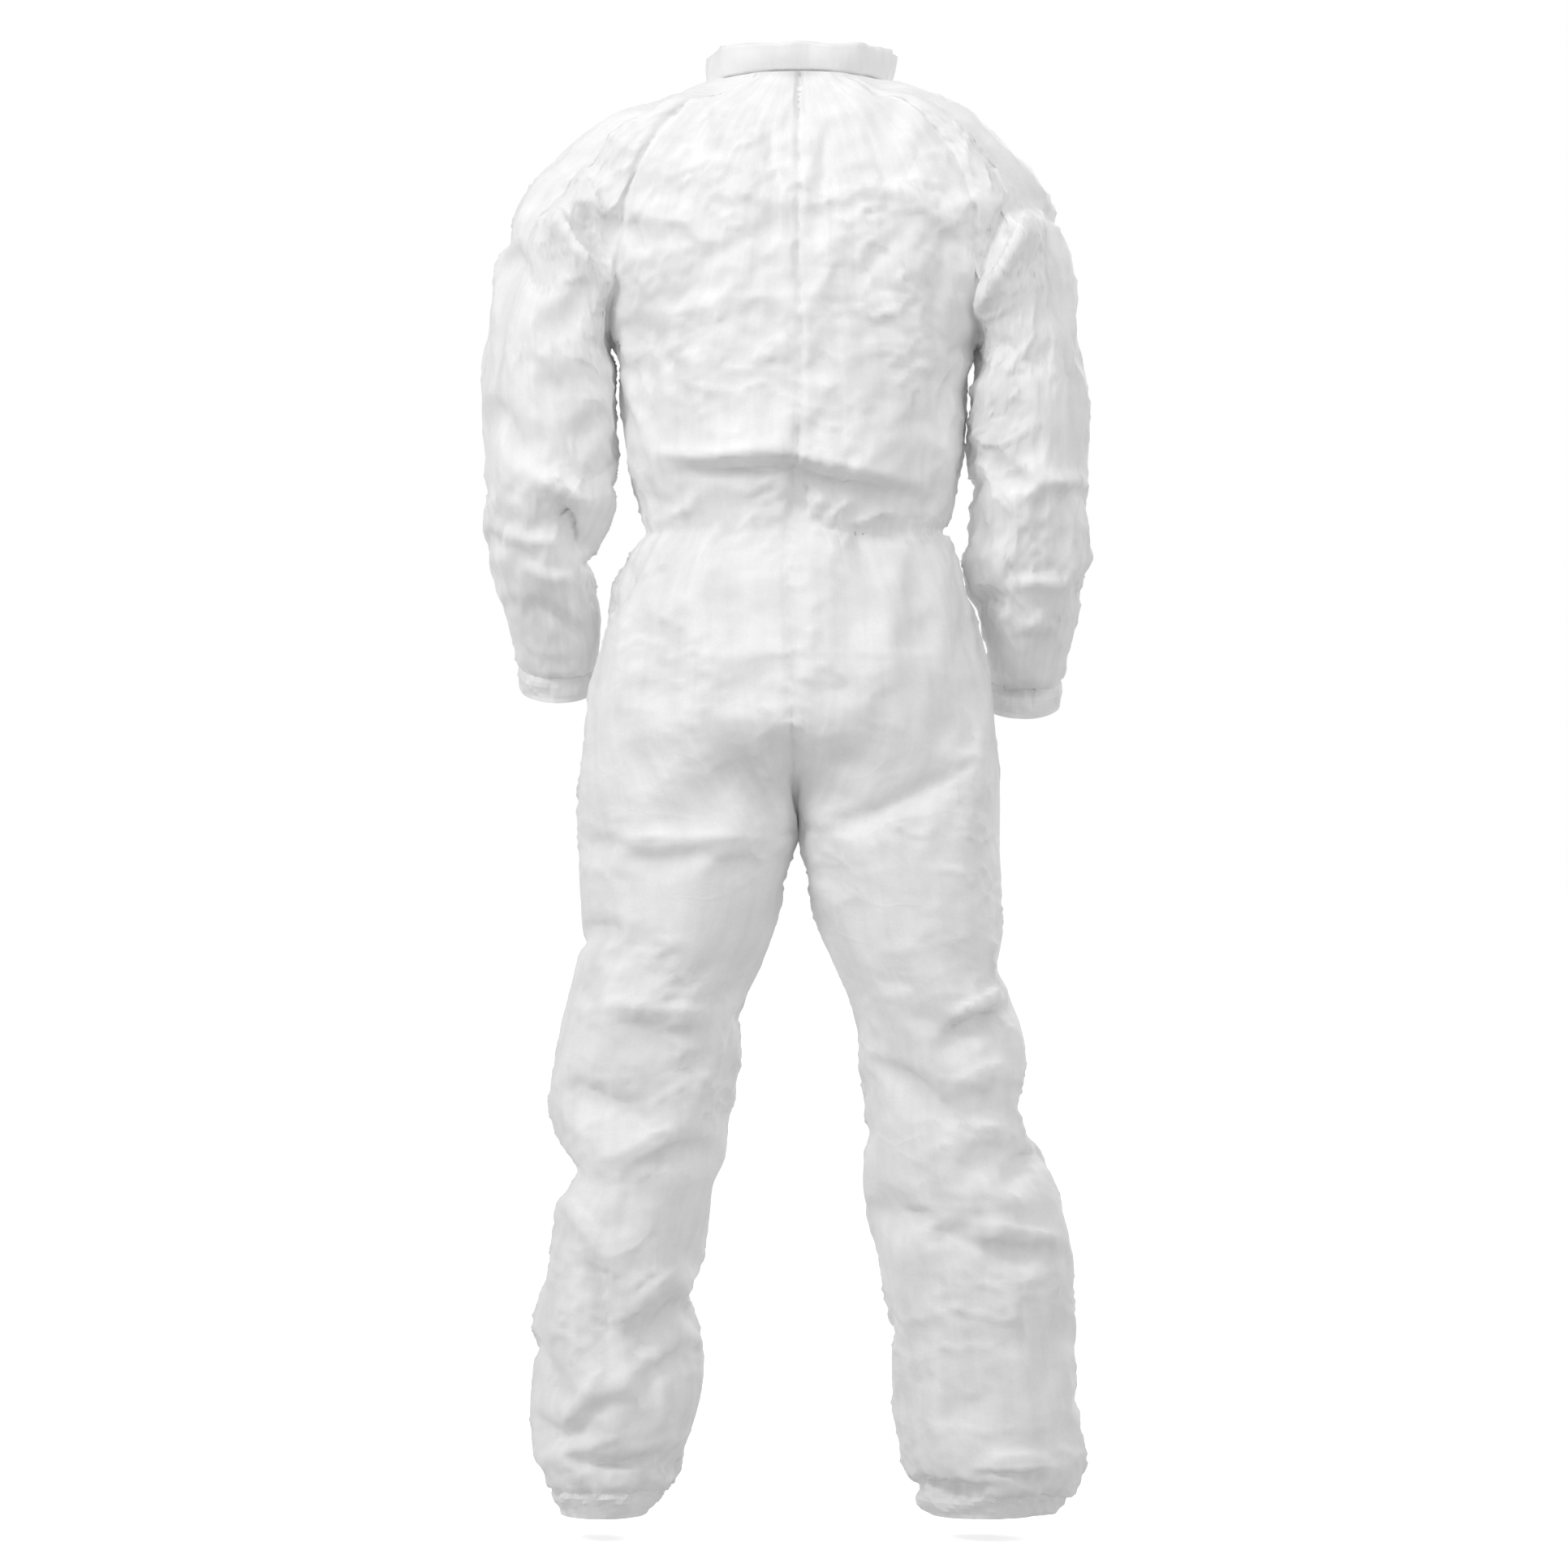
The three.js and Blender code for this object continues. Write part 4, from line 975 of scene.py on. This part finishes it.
def gridPiece(name, points, finish, thick=0.0, ring=False, outward=1, **more):
    # points is rows of points; a thickness makes it a closed sheet, added on the side that outward says
    rows, columns = points.shape[:2]
    u, v = clothSteps(points, ring)
    faces, uvs = [], []
    for j in range(rows - 1):
        for i in range(columns if ring else columns - 1):
            k = (i + 1) % columns
            faces.append((j * columns + i, j * columns + k, (j + 1) * columns + k, (j + 1) * columns + i))
            uvs += [(u[i], v[j]), (u[i + 1], v[j]), (u[i + 1], v[j + 1]), (u[i], v[j + 1])]
    piece = newPiece(name, points.reshape(-1, 3), faces, uvs, finish, **more)
    if thick:
        thicken(piece, thick, outward)
    return piece


def applyModifiers(piece):
    mesh = bpy.data.meshes.new_from_object(piece.evaluated_get(bpy.context.evaluated_depsgraph_get()))
    piece.modifiers.clear()
    piece.data = mesh


def thicken(piece, thick, outward=1):
    solid = piece.modifiers.new("thick", "SOLIDIFY")
    solid.thickness, solid.offset = thick, outward
    applyModifiers(piece)


def cutOut(shell, names):
    # a copy of the shell with only the faces of the named panels
    piece = shell.copy()
    piece.data = shell.data.copy()
    wanted = {panelNames.index(n) for n in names}
    bm = bmesh.new()
    bm.from_mesh(piece.data)
    layer = bm.faces.layers.int["piece"]
    bmesh.ops.delete(bm, geom=[f for f in bm.faces if f[layer] not in wanted], context="FACES")
    bm.to_mesh(piece.data)
    bm.free()
    bpy.context.scene.collection.objects.link(piece)
    return piece


def edgeNormalsFrom(shell, piece):
    # the pieces share their normals with the whole shell, so that no seam shows as a step in the light
    source = kdtree.KDTree(len(shell.data.vertices))
    points, normals = pointsOf(shell.data), normalsOf(shell.data)
    for k, p in enumerate(points):
        source.insert(p, k)
    source.balance()
    nearest = [source.find(p)[1] for p in pointsOf(piece.data)]
    piece.data.normals_split_custom_set_from_vertices(normals[nearest].tolist())


seat, calf, thigh, shin = "seat_panel", "calf_panel", "thigh_panel", "shin_panel"
panelNodes = {
    "back": ("back_panel", seat, calf), "front": ("front_panel", thigh, shin),
    "sleeve": ("upper_sleeve", "forearm_sleeve"),
}
hemThick = 0.0008


def buildPanels(shell):
    for side in ("left", "right"):
        for panel, nodes in panelNodes.items():
            name = f"{side}_{panel}"
            piece = cutOut(shell, [name])
            piece.name = name + "_cloth"
            piece.data.materials.clear()
            piece.data.materials.append(finishes["nonwoven"])
            edgeNormalsFrom(shell, piece)
            for node in nodes:
                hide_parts(f"{side}_{node}")
            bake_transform(piece)
        for end, body in (("wrist", "forearm"), ("ankle", "lower_leg")):
            name = f"{side}_{end}_hem"
            piece = cutOut(shell, [name])
            piece.name = name + "_cloth"
            piece.data.materials.clear()
            piece.data.materials.append(finishes[end + "Hem"])
            thicken(piece, hemThick)
            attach(piece, f"{side}_{body}")
            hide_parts(name)
            buildBand(shell, name, f"{side}_{end}_elastic", f"{side}_{body}")


bandSize = {
    "height": 0.008, "thick": 0.0011, "inside": 0.0048, "ripple": 0.0004, "count": 96, "spread": 0.12,
}
waistBand = {  # the reach and the spread are in degrees
    "height": 0.014, "thick": 0.0012, "inside": 0.0070, "ripple": 0.0008, "count": 121, "spread": 2.2,
    "reach": 76, "near": 0.008,
}


def meansAt(co, normals, masks):
    middle = np.array([co[m].mean(0) for m in masks])
    return middle, np.array([normals[m].mean(0) for m in masks])


def bandRows(middle, out, size, period):
    # three rows of points, set in from the cloth and slightly rippled
    ripple = size["ripple"] * np.sin(np.arange(len(middle)) * 2 * math.pi / period)[:, None]
    inner = middle - out * (size["inside"] + ripple)
    half = size["height"] / 2
    return np.array([inner + np.array([0, 0, h]) for h in (half, 0, -half)])


def buildBand(shell, hemName, node, body):
    # the elastic inside a hem: a ribbed ring that follows the middle of the hem
    member = membership(shell.data)[panelNames.index(hemName)]
    co, normals = pointsOf(shell.data)[member], normalsOf(shell.data)[member]
    middle = co.mean(0)
    angle = np.arctan2(co[:, 1] - middle[1], co[:, 0] - middle[0])
    masks = []
    for k in range(bandSize["count"]):
        target = -math.pi + 2 * math.pi * k / bandSize["count"]
        away = abs((angle - target + math.pi) % (2 * math.pi) - math.pi)
        masks.append(away < bandSize["spread"])
    ring, out = meansAt(co, normals, masks)
    out /= np.linalg.norm(out, axis=1)[:, None]
    gridPiece(node + "_band", bandRows(ring, out, bandSize, 6), finishes["elastic"], bandSize["thick"],
              ring=True, outward=-1, rides=body, replaces=[node])


def buildWaistElastic(shell):
    w = waistBand
    co, normals = pointsOf(shell.data), normalsOf(shell.data)
    near = (abs(co[:, 2] - suitSize["waist"]) < w["near"]) & ~armsOf(shell.data)
    co, normals = co[near], normals[near]
    angle = np.degrees(np.arctan2(co[:, 0], co[:, 1]))
    stops = np.linspace(-w["reach"], w["reach"], w["count"])
    middle, out = meansAt(co, normals, [abs(angle - stop) < w["spread"] for stop in stops])
    middle[:, 2] = suitSize["waist"]
    out[:, 2] = 0
    out /= np.linalg.norm(out, axis=1)[:, None]
    gridPiece("waist_elastic_band", bandRows(middle, out, w, 5), finishes["elastic"], w["thick"], outward=1,
              replaces=["waist_elastic"])


collarSize = {"height": 0.030, "shoulder": 0.006, "thick": 0.0012, "facing": 0.0024, "flare": 0.004}


def collarPath(share):
    # share runs from -1 at the wearer's right of the zip, round behind the neck at 0, to 1 at the left
    right = [(-x, y, z) for x, y, z in collarCorners]
    whole = right[::-1] + collarCorners[1:]
    return curveThrough(whole, 900)((share + 1) / 2)


collarCorners = [
    (0.0, 0.062, 0.0), (0.024, 0.061, 0.0), neckBack, (0.080, 0.030, -0.005), shoulderTop,
    (0.086, -0.052, -0.022), neckFront, (0.030, frontLine(-0.040) + 0.003, -0.039),
    (0.006, frontLine(-0.040), -0.040),
]


def collarGrid(inset, top, columns, rows, ends=1.0):
    share = np.linspace(-ends, ends, columns)
    base = collarPath(share)
    tangent = np.gradient(base, axis=0)
    out = np.stack([tangent[:, 1], -tangent[:, 0], 0 * tangent[:, 0]], axis=1)
    out /= np.linalg.norm(out, axis=1)[:, None]
    out *= np.sign((out * (base - [0, -0.015, 0])).sum(1))[:, None]
    lift = smooth(abs(base[:, 0]), 0.04, 0.095) * (base[:, 1] > -0.07)
    grid = []
    for j in range(rows + 1):
        v = j / rows
        height = (collarSize["height"] * top + collarSize["shoulder"] * lift) * v
        wave = 0.0026 * np.sin(share * 23) + 0.0014 * np.sin(share * 51 + 1.0)
        # one fold at the wearer's left, and creases at the right
        notch = -0.011 * np.exp(-(((base[:, 0] - 0.088) / 0.006) ** 2)) * (base[:, 1] > -0.02) * v
        creases = 0.0035 * np.sin(base[:, 1] * 300) * np.exp(-(((base[:, 0] + 0.090) / 0.012) ** 2)) * v
        bulge = math.sin(math.pi * v) * 0.0022
        push = collarSize["flare"] * v + wave * v * v + notch + creases + bulge - inset
        p = base + out * push[:, None]
        p[:, 2] += height + 0.0012 * np.sin(share * 31 + 2) * v
        p[:, 1] += height * zipSlope * (base[:, 1] < 0)
        grid.append(p)
    return np.array(grid)


def buildCollar():
    gridPiece("collar_band", collarGrid(0.0, 1.0, 260, 9), finishes["collar"], collarSize["thick"],
              outward=1, replaces=["collar"])
    gridPiece("collar_lining", collarGrid(collarSize["facing"], 0.95, 240, 8, 0.985), finishes["nonwoven"],
              0.0008, outward=1, replaces=["collar_facing"])


def alongZip(points):
    # from the zip's own frame (x across, y inward, z up the chain) to the suit's
    tilt = -math.asin(zipForward / zipLength)
    x, y, z = np.array(points, float).T
    return np.stack([x, y * math.cos(tilt) - z * math.sin(tilt) + zipTop[0],
                     y * math.sin(tilt) + z * math.cos(tilt) + zipTop[1]], axis=1)


def prism(outline, near, far, bevel=0.0):
    # a plate cut to an outline of (x, z) points between two depths, with its edges rounded
    bm = bmesh.new()
    front = [bm.verts.new((x, near, z)) for x, z in outline]
    face = bm.faces.new(front)
    moved = bmesh.ops.extrude_face_region(bm, geom=[face])["geom"]
    for v in moved:
        if isinstance(v, bmesh.types.BMVert):
            v.co.y = far
    bmesh.ops.recalc_face_normals(bm, faces=bm.faces)
    if bevel:
        edges = [e for e in bm.edges if len(e.link_faces) == 2 and e.calc_face_angle(0) > 1.0]
        bmesh.ops.bevel(bm, geom=edges, offset=bevel, segments=2, affect="EDGES", profile=0.5)
    bm.verts.index_update()
    points = np.array([v.co[:] for v in bm.verts])
    faces = [[v.index for v in f.verts] for f in bm.faces]
    bm.free()
    return points, faces


def ringPlate(outer, inner, near, far):
    # a plate with a hole: both outlines have as many points
    n = len(outer)
    points = [(x, y, z) for y in (near, far) for line in (outer, inner) for x, z in line]
    faces = []
    for i in range(n):
        k = (i + 1) % n
        faces += [[i, k, n + k, n + i], [2 * n + k, 2 * n + i, 3 * n + i, 3 * n + k],
                  [k, i, 2 * n + i, 2 * n + k], [n + i, n + k, 3 * n + k, 3 * n + i]]
    return np.array(points), faces


def merged(parts):
    points, faces, base = [], [], 0
    for p, f in parts:
        points.append(p)
        faces += [[i + base for i in face] for face in f]
        base += len(p)
    return np.concatenate(points), faces


def zipPiece(name, parts, finish, rides, replaces):
    points, faces = merged(parts)
    piece = newPiece(name, alongZip(points), faces, None, finish, rides, replaces)
    piece.data.polygons.foreach_set("use_smooth", [False] * len(piece.data.polygons))


zipSize = {
    "toothPitch": 0.0032, "toothReach": (0.0008, 0.0030), "chain": (-0.0062, -0.6258), "front": -0.0006,
    "back": 0.0026, "tape": (0.0008, 0.0130), "tapeDepth": (0.0030, 0.0039), "sliderTop": -0.0064,
    "sliderLength": 0.0100, "sliderHalf": 0.0045, "eye": -0.0114, "pullLength": 0.031,
    "pullHalf": 0.0035, "topStop": (-0.0026, -0.0056), "bottomStop": (-0.6264, -0.6304), "bottomHalf": 0.003,
    "stopFront": -0.0011, "tapeEnds": (-0.001, -0.634), "pullDepth": (-0.0045, -0.0033), "ribs": 8,
}


def buildZip():
    z = zipSize
    for side, sign in (("left", 1), ("right", -1)):
        a, b = z["tape"]
        rows = np.linspace(*z["tapeEnds"], 160)
        columns = np.linspace(a, b, 7)
        grid = np.array([[(sign * x, z["tapeDepth"][0], h) for x in columns] for h in rows])
        flat = alongZip(grid.reshape(-1, 3)).reshape(grid.shape)
        gridPiece(f"{side}_zip_ribbon", flat, finishes["ribbon"], 0.0008, outward=-1 if sign > 0 else 1,
                  replaces=[f"{side}_zip_tape"])
        near, far = z["toothReach"]
        top, end = z["chain"]
        teeth = []
        count = int((top - end) / z["toothPitch"])
        for k in range(count):
            h = top - (k + (0.25 if sign > 0 else 0.75)) * z["toothPitch"]
            half, neck = z["toothPitch"] * 0.42, z["toothPitch"] * 0.24
            outline = [(sign * far, h - half), (sign * far, h + half), (sign * (near + 0.0009), h + half),
                       (sign * (near + 0.0006), h + neck), (sign * near, h + neck),
                       (sign * near, h - neck), (sign * (near + 0.0006), h - neck),
                       (sign * (near + 0.0009), h - half)]
            teeth.append(prism(outline, z["front"], z["back"]))
        zipPiece(f"{side}_zip_teeth", teeth, finishes["teeth"], "suit", [f"{side}_zip_chain"])
        high, low = z["topStop"]
        stop = [(sign * near, low), (sign * far, low), (sign * far, high), (sign * near, high)]
        stop = prism(stop, z["stopFront"], z["back"], 0.0003)
        zipPiece(f"{side}_zip_top_stop", [stop], finishes["teeth"], "suit", [f"{side}_top_stop"])
    high, low = z["bottomStop"]
    half = z["bottomHalf"]
    box = prism([(-half, low), (half, low), (half, high), (-half, high)], z["stopFront"], z["back"], 0.0004)
    zipPiece("zip_bottom_stop", [box], finishes["teeth"], "suit", ["bottom_stop"])
    buildSlider()


def roundOutline(halfWidth, top, bottom, corner=0.0012, steps=5):
    outline = []
    side, high, low = halfWidth - corner, top - corner, bottom + corner
    for cx, cz, start in ((side, high, 0), (-side, high, 90), (-side, low, 180), (side, low, 270)):
        for k in range(steps):
            angle = math.radians(start + 90 * k / (steps - 1))
            outline.append((cx + corner * math.cos(angle), cz + corner * math.sin(angle)))
    return outline


def buildSlider():
    z = zipSize
    top, bottom = z["sliderTop"], z["sliderTop"] - z["sliderLength"]
    half = z["sliderHalf"]
    shape = [(-half, top), (-half, top - 0.006), (-half * 0.72, bottom), (half * 0.72, bottom),
             (half, top - 0.006), (half, top), (half * 0.3, top), (0, top - 0.0012), (-half * 0.3, top)]
    parts = [prism(shape, -0.0022, -0.0010, 0.0003), prism(shape, 0.0043, 0.0053, 0.0003)]
    for sign in (1, -1):  # the flanges that keep the teeth in
        rail = [(sign * half, top), (sign * half, top - 0.006), (sign * half * 0.74, bottom + 0.0004),
                (sign * (half * 0.74 - 0.0006), bottom + 0.0004), (sign * (half - 0.0009), top - 0.006),
                (sign * (half - 0.0009), top)]
        parts.append(prism(rail if sign < 0 else rail[::-1], -0.0012, 0.0020))
    eyeZ = z["eye"]
    bridge = []
    for k in range(13):  # the loop that the pull hangs from
        angle = math.pi * k / 12
        bridge.append((-0.0019 - 0.0030 * math.sin(angle), eyeZ + 0.0034 * math.cos(angle)))
    arch = bridge + [(y + 0.0011 * math.sin(math.pi * k / 12), eyeZ + (h - eyeZ) * 0.66)
                     for k, (y, h) in reversed(list(enumerate(bridge)))]
    loop, faces = prism([(y, h) for y, h in arch], -0.0011, 0.0011)
    loop = loop[:, [1, 0, 2]]  # the prism runs across the zip
    parts.append((loop, [f[::-1] for f in faces]))
    zipPiece("zip_slider_body", parts, finishes["hardware"], "slider", ["zip_slider"])
    pullTop = eyeZ + 0.0008
    outer = roundOutline(z["pullHalf"], pullTop, pullTop - z["pullLength"] - 0.0006, 0.0018)
    hole = [(x * 0.50, pullTop - 0.0016 + (h - pullTop) * 0.10) for x, h in outer]
    parts = [ringPlate(outer, hole, *z["pullDepth"])]
    for h in np.linspace(pullTop - 0.014, pullTop - 0.027, z["ribs"]):
        rib = [(-0.0024, h), (0.0024, h), (0.0024, h - 0.0007), (-0.0024, h - 0.0007)]
        parts.append(prism(rib, -0.0049, -0.0040, 0.0002))
    zipPiece("zip_pull_tab", parts, finishes["hardware"], "pull", ["zip_pull"])


flapSize = {"root": 0.028, "edge": -0.022, "rise": 0.0062, "thick": 0.0011, "ends": (-0.003, -0.638),
            "flat": (0.054, 0.636)}


def buildFlap():
    f = flapSize
    rows, columns = np.linspace(*f["ends"], 200), np.linspace(0, 1, 29)
    grid = []
    for h in rows:
        line = []
        for t in columns:
            x = f["root"] + (f["edge"] - f["root"]) * t
            arch = min(1.0, min(t, 1 - t) / 0.20)
            arch = arch * arch * (3 - 2 * arch)
            wave = 0.0006 * math.sin(h * 61 + 3 * t) + 0.0004 * math.sin(h * 143 + 5 * t)
            line.append((x + 0.0008 * math.sin(h * 47), -0.0006 - f["rise"] * arch - (0.0003 + wave) * t, h))
        grid.append(line)
    grid = np.array(grid)
    flat = alongZip(grid.reshape(-1, 3)).reshape(grid.shape)
    swapped = flat.transpose(1, 0, 2)  # its stitches run down its length
    piece = gridPiece("storm_flap_cloth", swapped, finishes["flap"], f["thick"], outward=-1,
                      rides="flap", replaces=["storm_flap"])


labelSize = {"half": 0.021, "top": -0.016, "height": 0.026, "inside": 0.0085, "thick": 0.0005}


def buildLabel():
    half, top = labelSize["half"], labelSize["top"]
    grid = []
    for h in np.linspace(top, top - labelSize["height"], 9):
        back = float(backMiddle(h)) - labelSize["inside"]
        grid.append([(x, back - (x / 0.09) ** 2 * 0.03 - 0.0008 * math.sin(40 * x + 60 * h), h)
                     for x in np.linspace(-half, half, 15)])
    gridPiece("size_label_ribbon", np.array(grid), finishes["label"], labelSize["thick"],
              replaces=["size_label"])


def plainFinish(name, shade, roughness=0.9, glow=0.0):
    f = Finish(name)
    color = (shade, shade, shade, 1)
    shader = f.node("ShaderNodeBsdfPrincipled", Base_Color=color, Roughness=roughness,
                    Emission_Color=color, Emission_Strength=glow)
    f.tree.links.new(shader.node.outputs[0], f.out.inputs[0])
    return f.material


studio = {
    "floor": -1.546,
    "key": {"place": (2.3, 2.0, 1.3), "size": 1.1, "watts": 43},
    "top": {"place": (-0.3, 0.9, 2.0), "size": 1.4, "watts": 7},
    "fill": {"place": (-0.9, 1.6, 0.8), "size": 1.5, "watts": 8.5},
    "front": {"place": (-1.6, -3.0, 1.4), "size": 1.6, "watts": 44},
    "distance": 7.0,
    "lookAt": (0.016, 0.0, -0.749),
    "frame": 1.6615,  # width of the view at the suit, metres
    # how bright the surroundings are from straight down, at 0, to straight up, at 1
    "world": [(0.44, 0.46), (0.49, 1.0), (0.57, 1.0), (0.64, 0.54), (1.0, 0.55)],
    "floorHalf": 40.0,
}


def buildStage():
    scene = bpy.context.scene
    half = studio["floorHalf"]
    mesh = bpy.data.meshes.new("floor")
    corners = [(x * half, y * half, studio["floor"]) for x, y in ((-1, -1), (1, -1), (1, 1), (-1, 1))]
    mesh.from_pydata(corners, [], [(0, 1, 2, 3)])
    floor = bpy.data.objects.new("floor", mesh)
    mesh.materials.append(plainFinish("paleFloor", 0.93, 0.9, 0.75))
    scene.collection.objects.link(floor)
    floor.visible_diffuse = False  # the floor shows, but throws no light up into the folds
    world = bpy.data.worlds.new("studio")
    scene.world = world
    world.use_nodes = True
    nodes, links = world.node_tree.nodes, world.node_tree.links
    coordinate = nodes.new("ShaderNodeTexCoord")
    split = nodes.new("ShaderNodeSeparateXYZ")
    height = nodes.new("ShaderNodeMapRange")
    height.inputs["From Min"].default_value = -1
    ramp = nodes.new("ShaderNodeValToRGB")
    stops = studio["world"]
    while len(ramp.color_ramp.elements) < len(stops):
        ramp.color_ramp.elements.new(0.5)
    for element, (place, shade) in zip(ramp.color_ramp.elements, stops):
        element.position, element.color = place, (shade, shade, shade, 1)
    links.new(coordinate.outputs["Generated"], split.inputs[0])
    links.new(split.outputs["Z"], height.inputs["Value"])
    links.new(height.outputs[0], ramp.inputs["Fac"])
    links.new(ramp.outputs["Color"], nodes["Background"].inputs["Color"])
    for name in ("key", "top", "fill", "front"):
        lamp = studio[name]
        data = bpy.data.lights.new(name + "Light", "AREA")
        data.size, data.energy = lamp["size"], lamp["watts"]
        light = bpy.data.objects.new(name + "Light", data)
        light.location = lamp["place"]
        aim = Vector(studio["lookAt"]) - light.location
        light.rotation_euler = aim.to_track_quat("-Z", "Y").to_euler()
        scene.collection.objects.link(light)
    data = bpy.data.cameras.new("camera")
    data.sensor_width = 36.0
    data.lens = data.sensor_width * studio["distance"] / studio["frame"]
    data.clip_end = 60
    camera = bpy.data.objects.new("camera", data)
    camera.location = Vector(studio["lookAt"]) + Vector((0, studio["distance"], 0))
    camera.rotation_euler = (math.radians(90), 0, math.radians(180))
    scene.collection.objects.link(camera)
    scene.camera = camera
    scene.view_settings.view_transform = "Standard"


started = time.time()
shell = buildShell()
drapeShell(shell)
print("draped", round(time.time() - started, 1), "s")
refine(shell)
print("refined", len(shell.data.vertices), "points", round(time.time() - started, 1), "s")
buildPanels(shell)
buildWaistElastic(shell)
bpy.data.objects.remove(shell)
buildCollar()
buildZip()
buildFlap()
buildLabel()
print("pieces", round(time.time() - started, 1), "s")
buildStage()
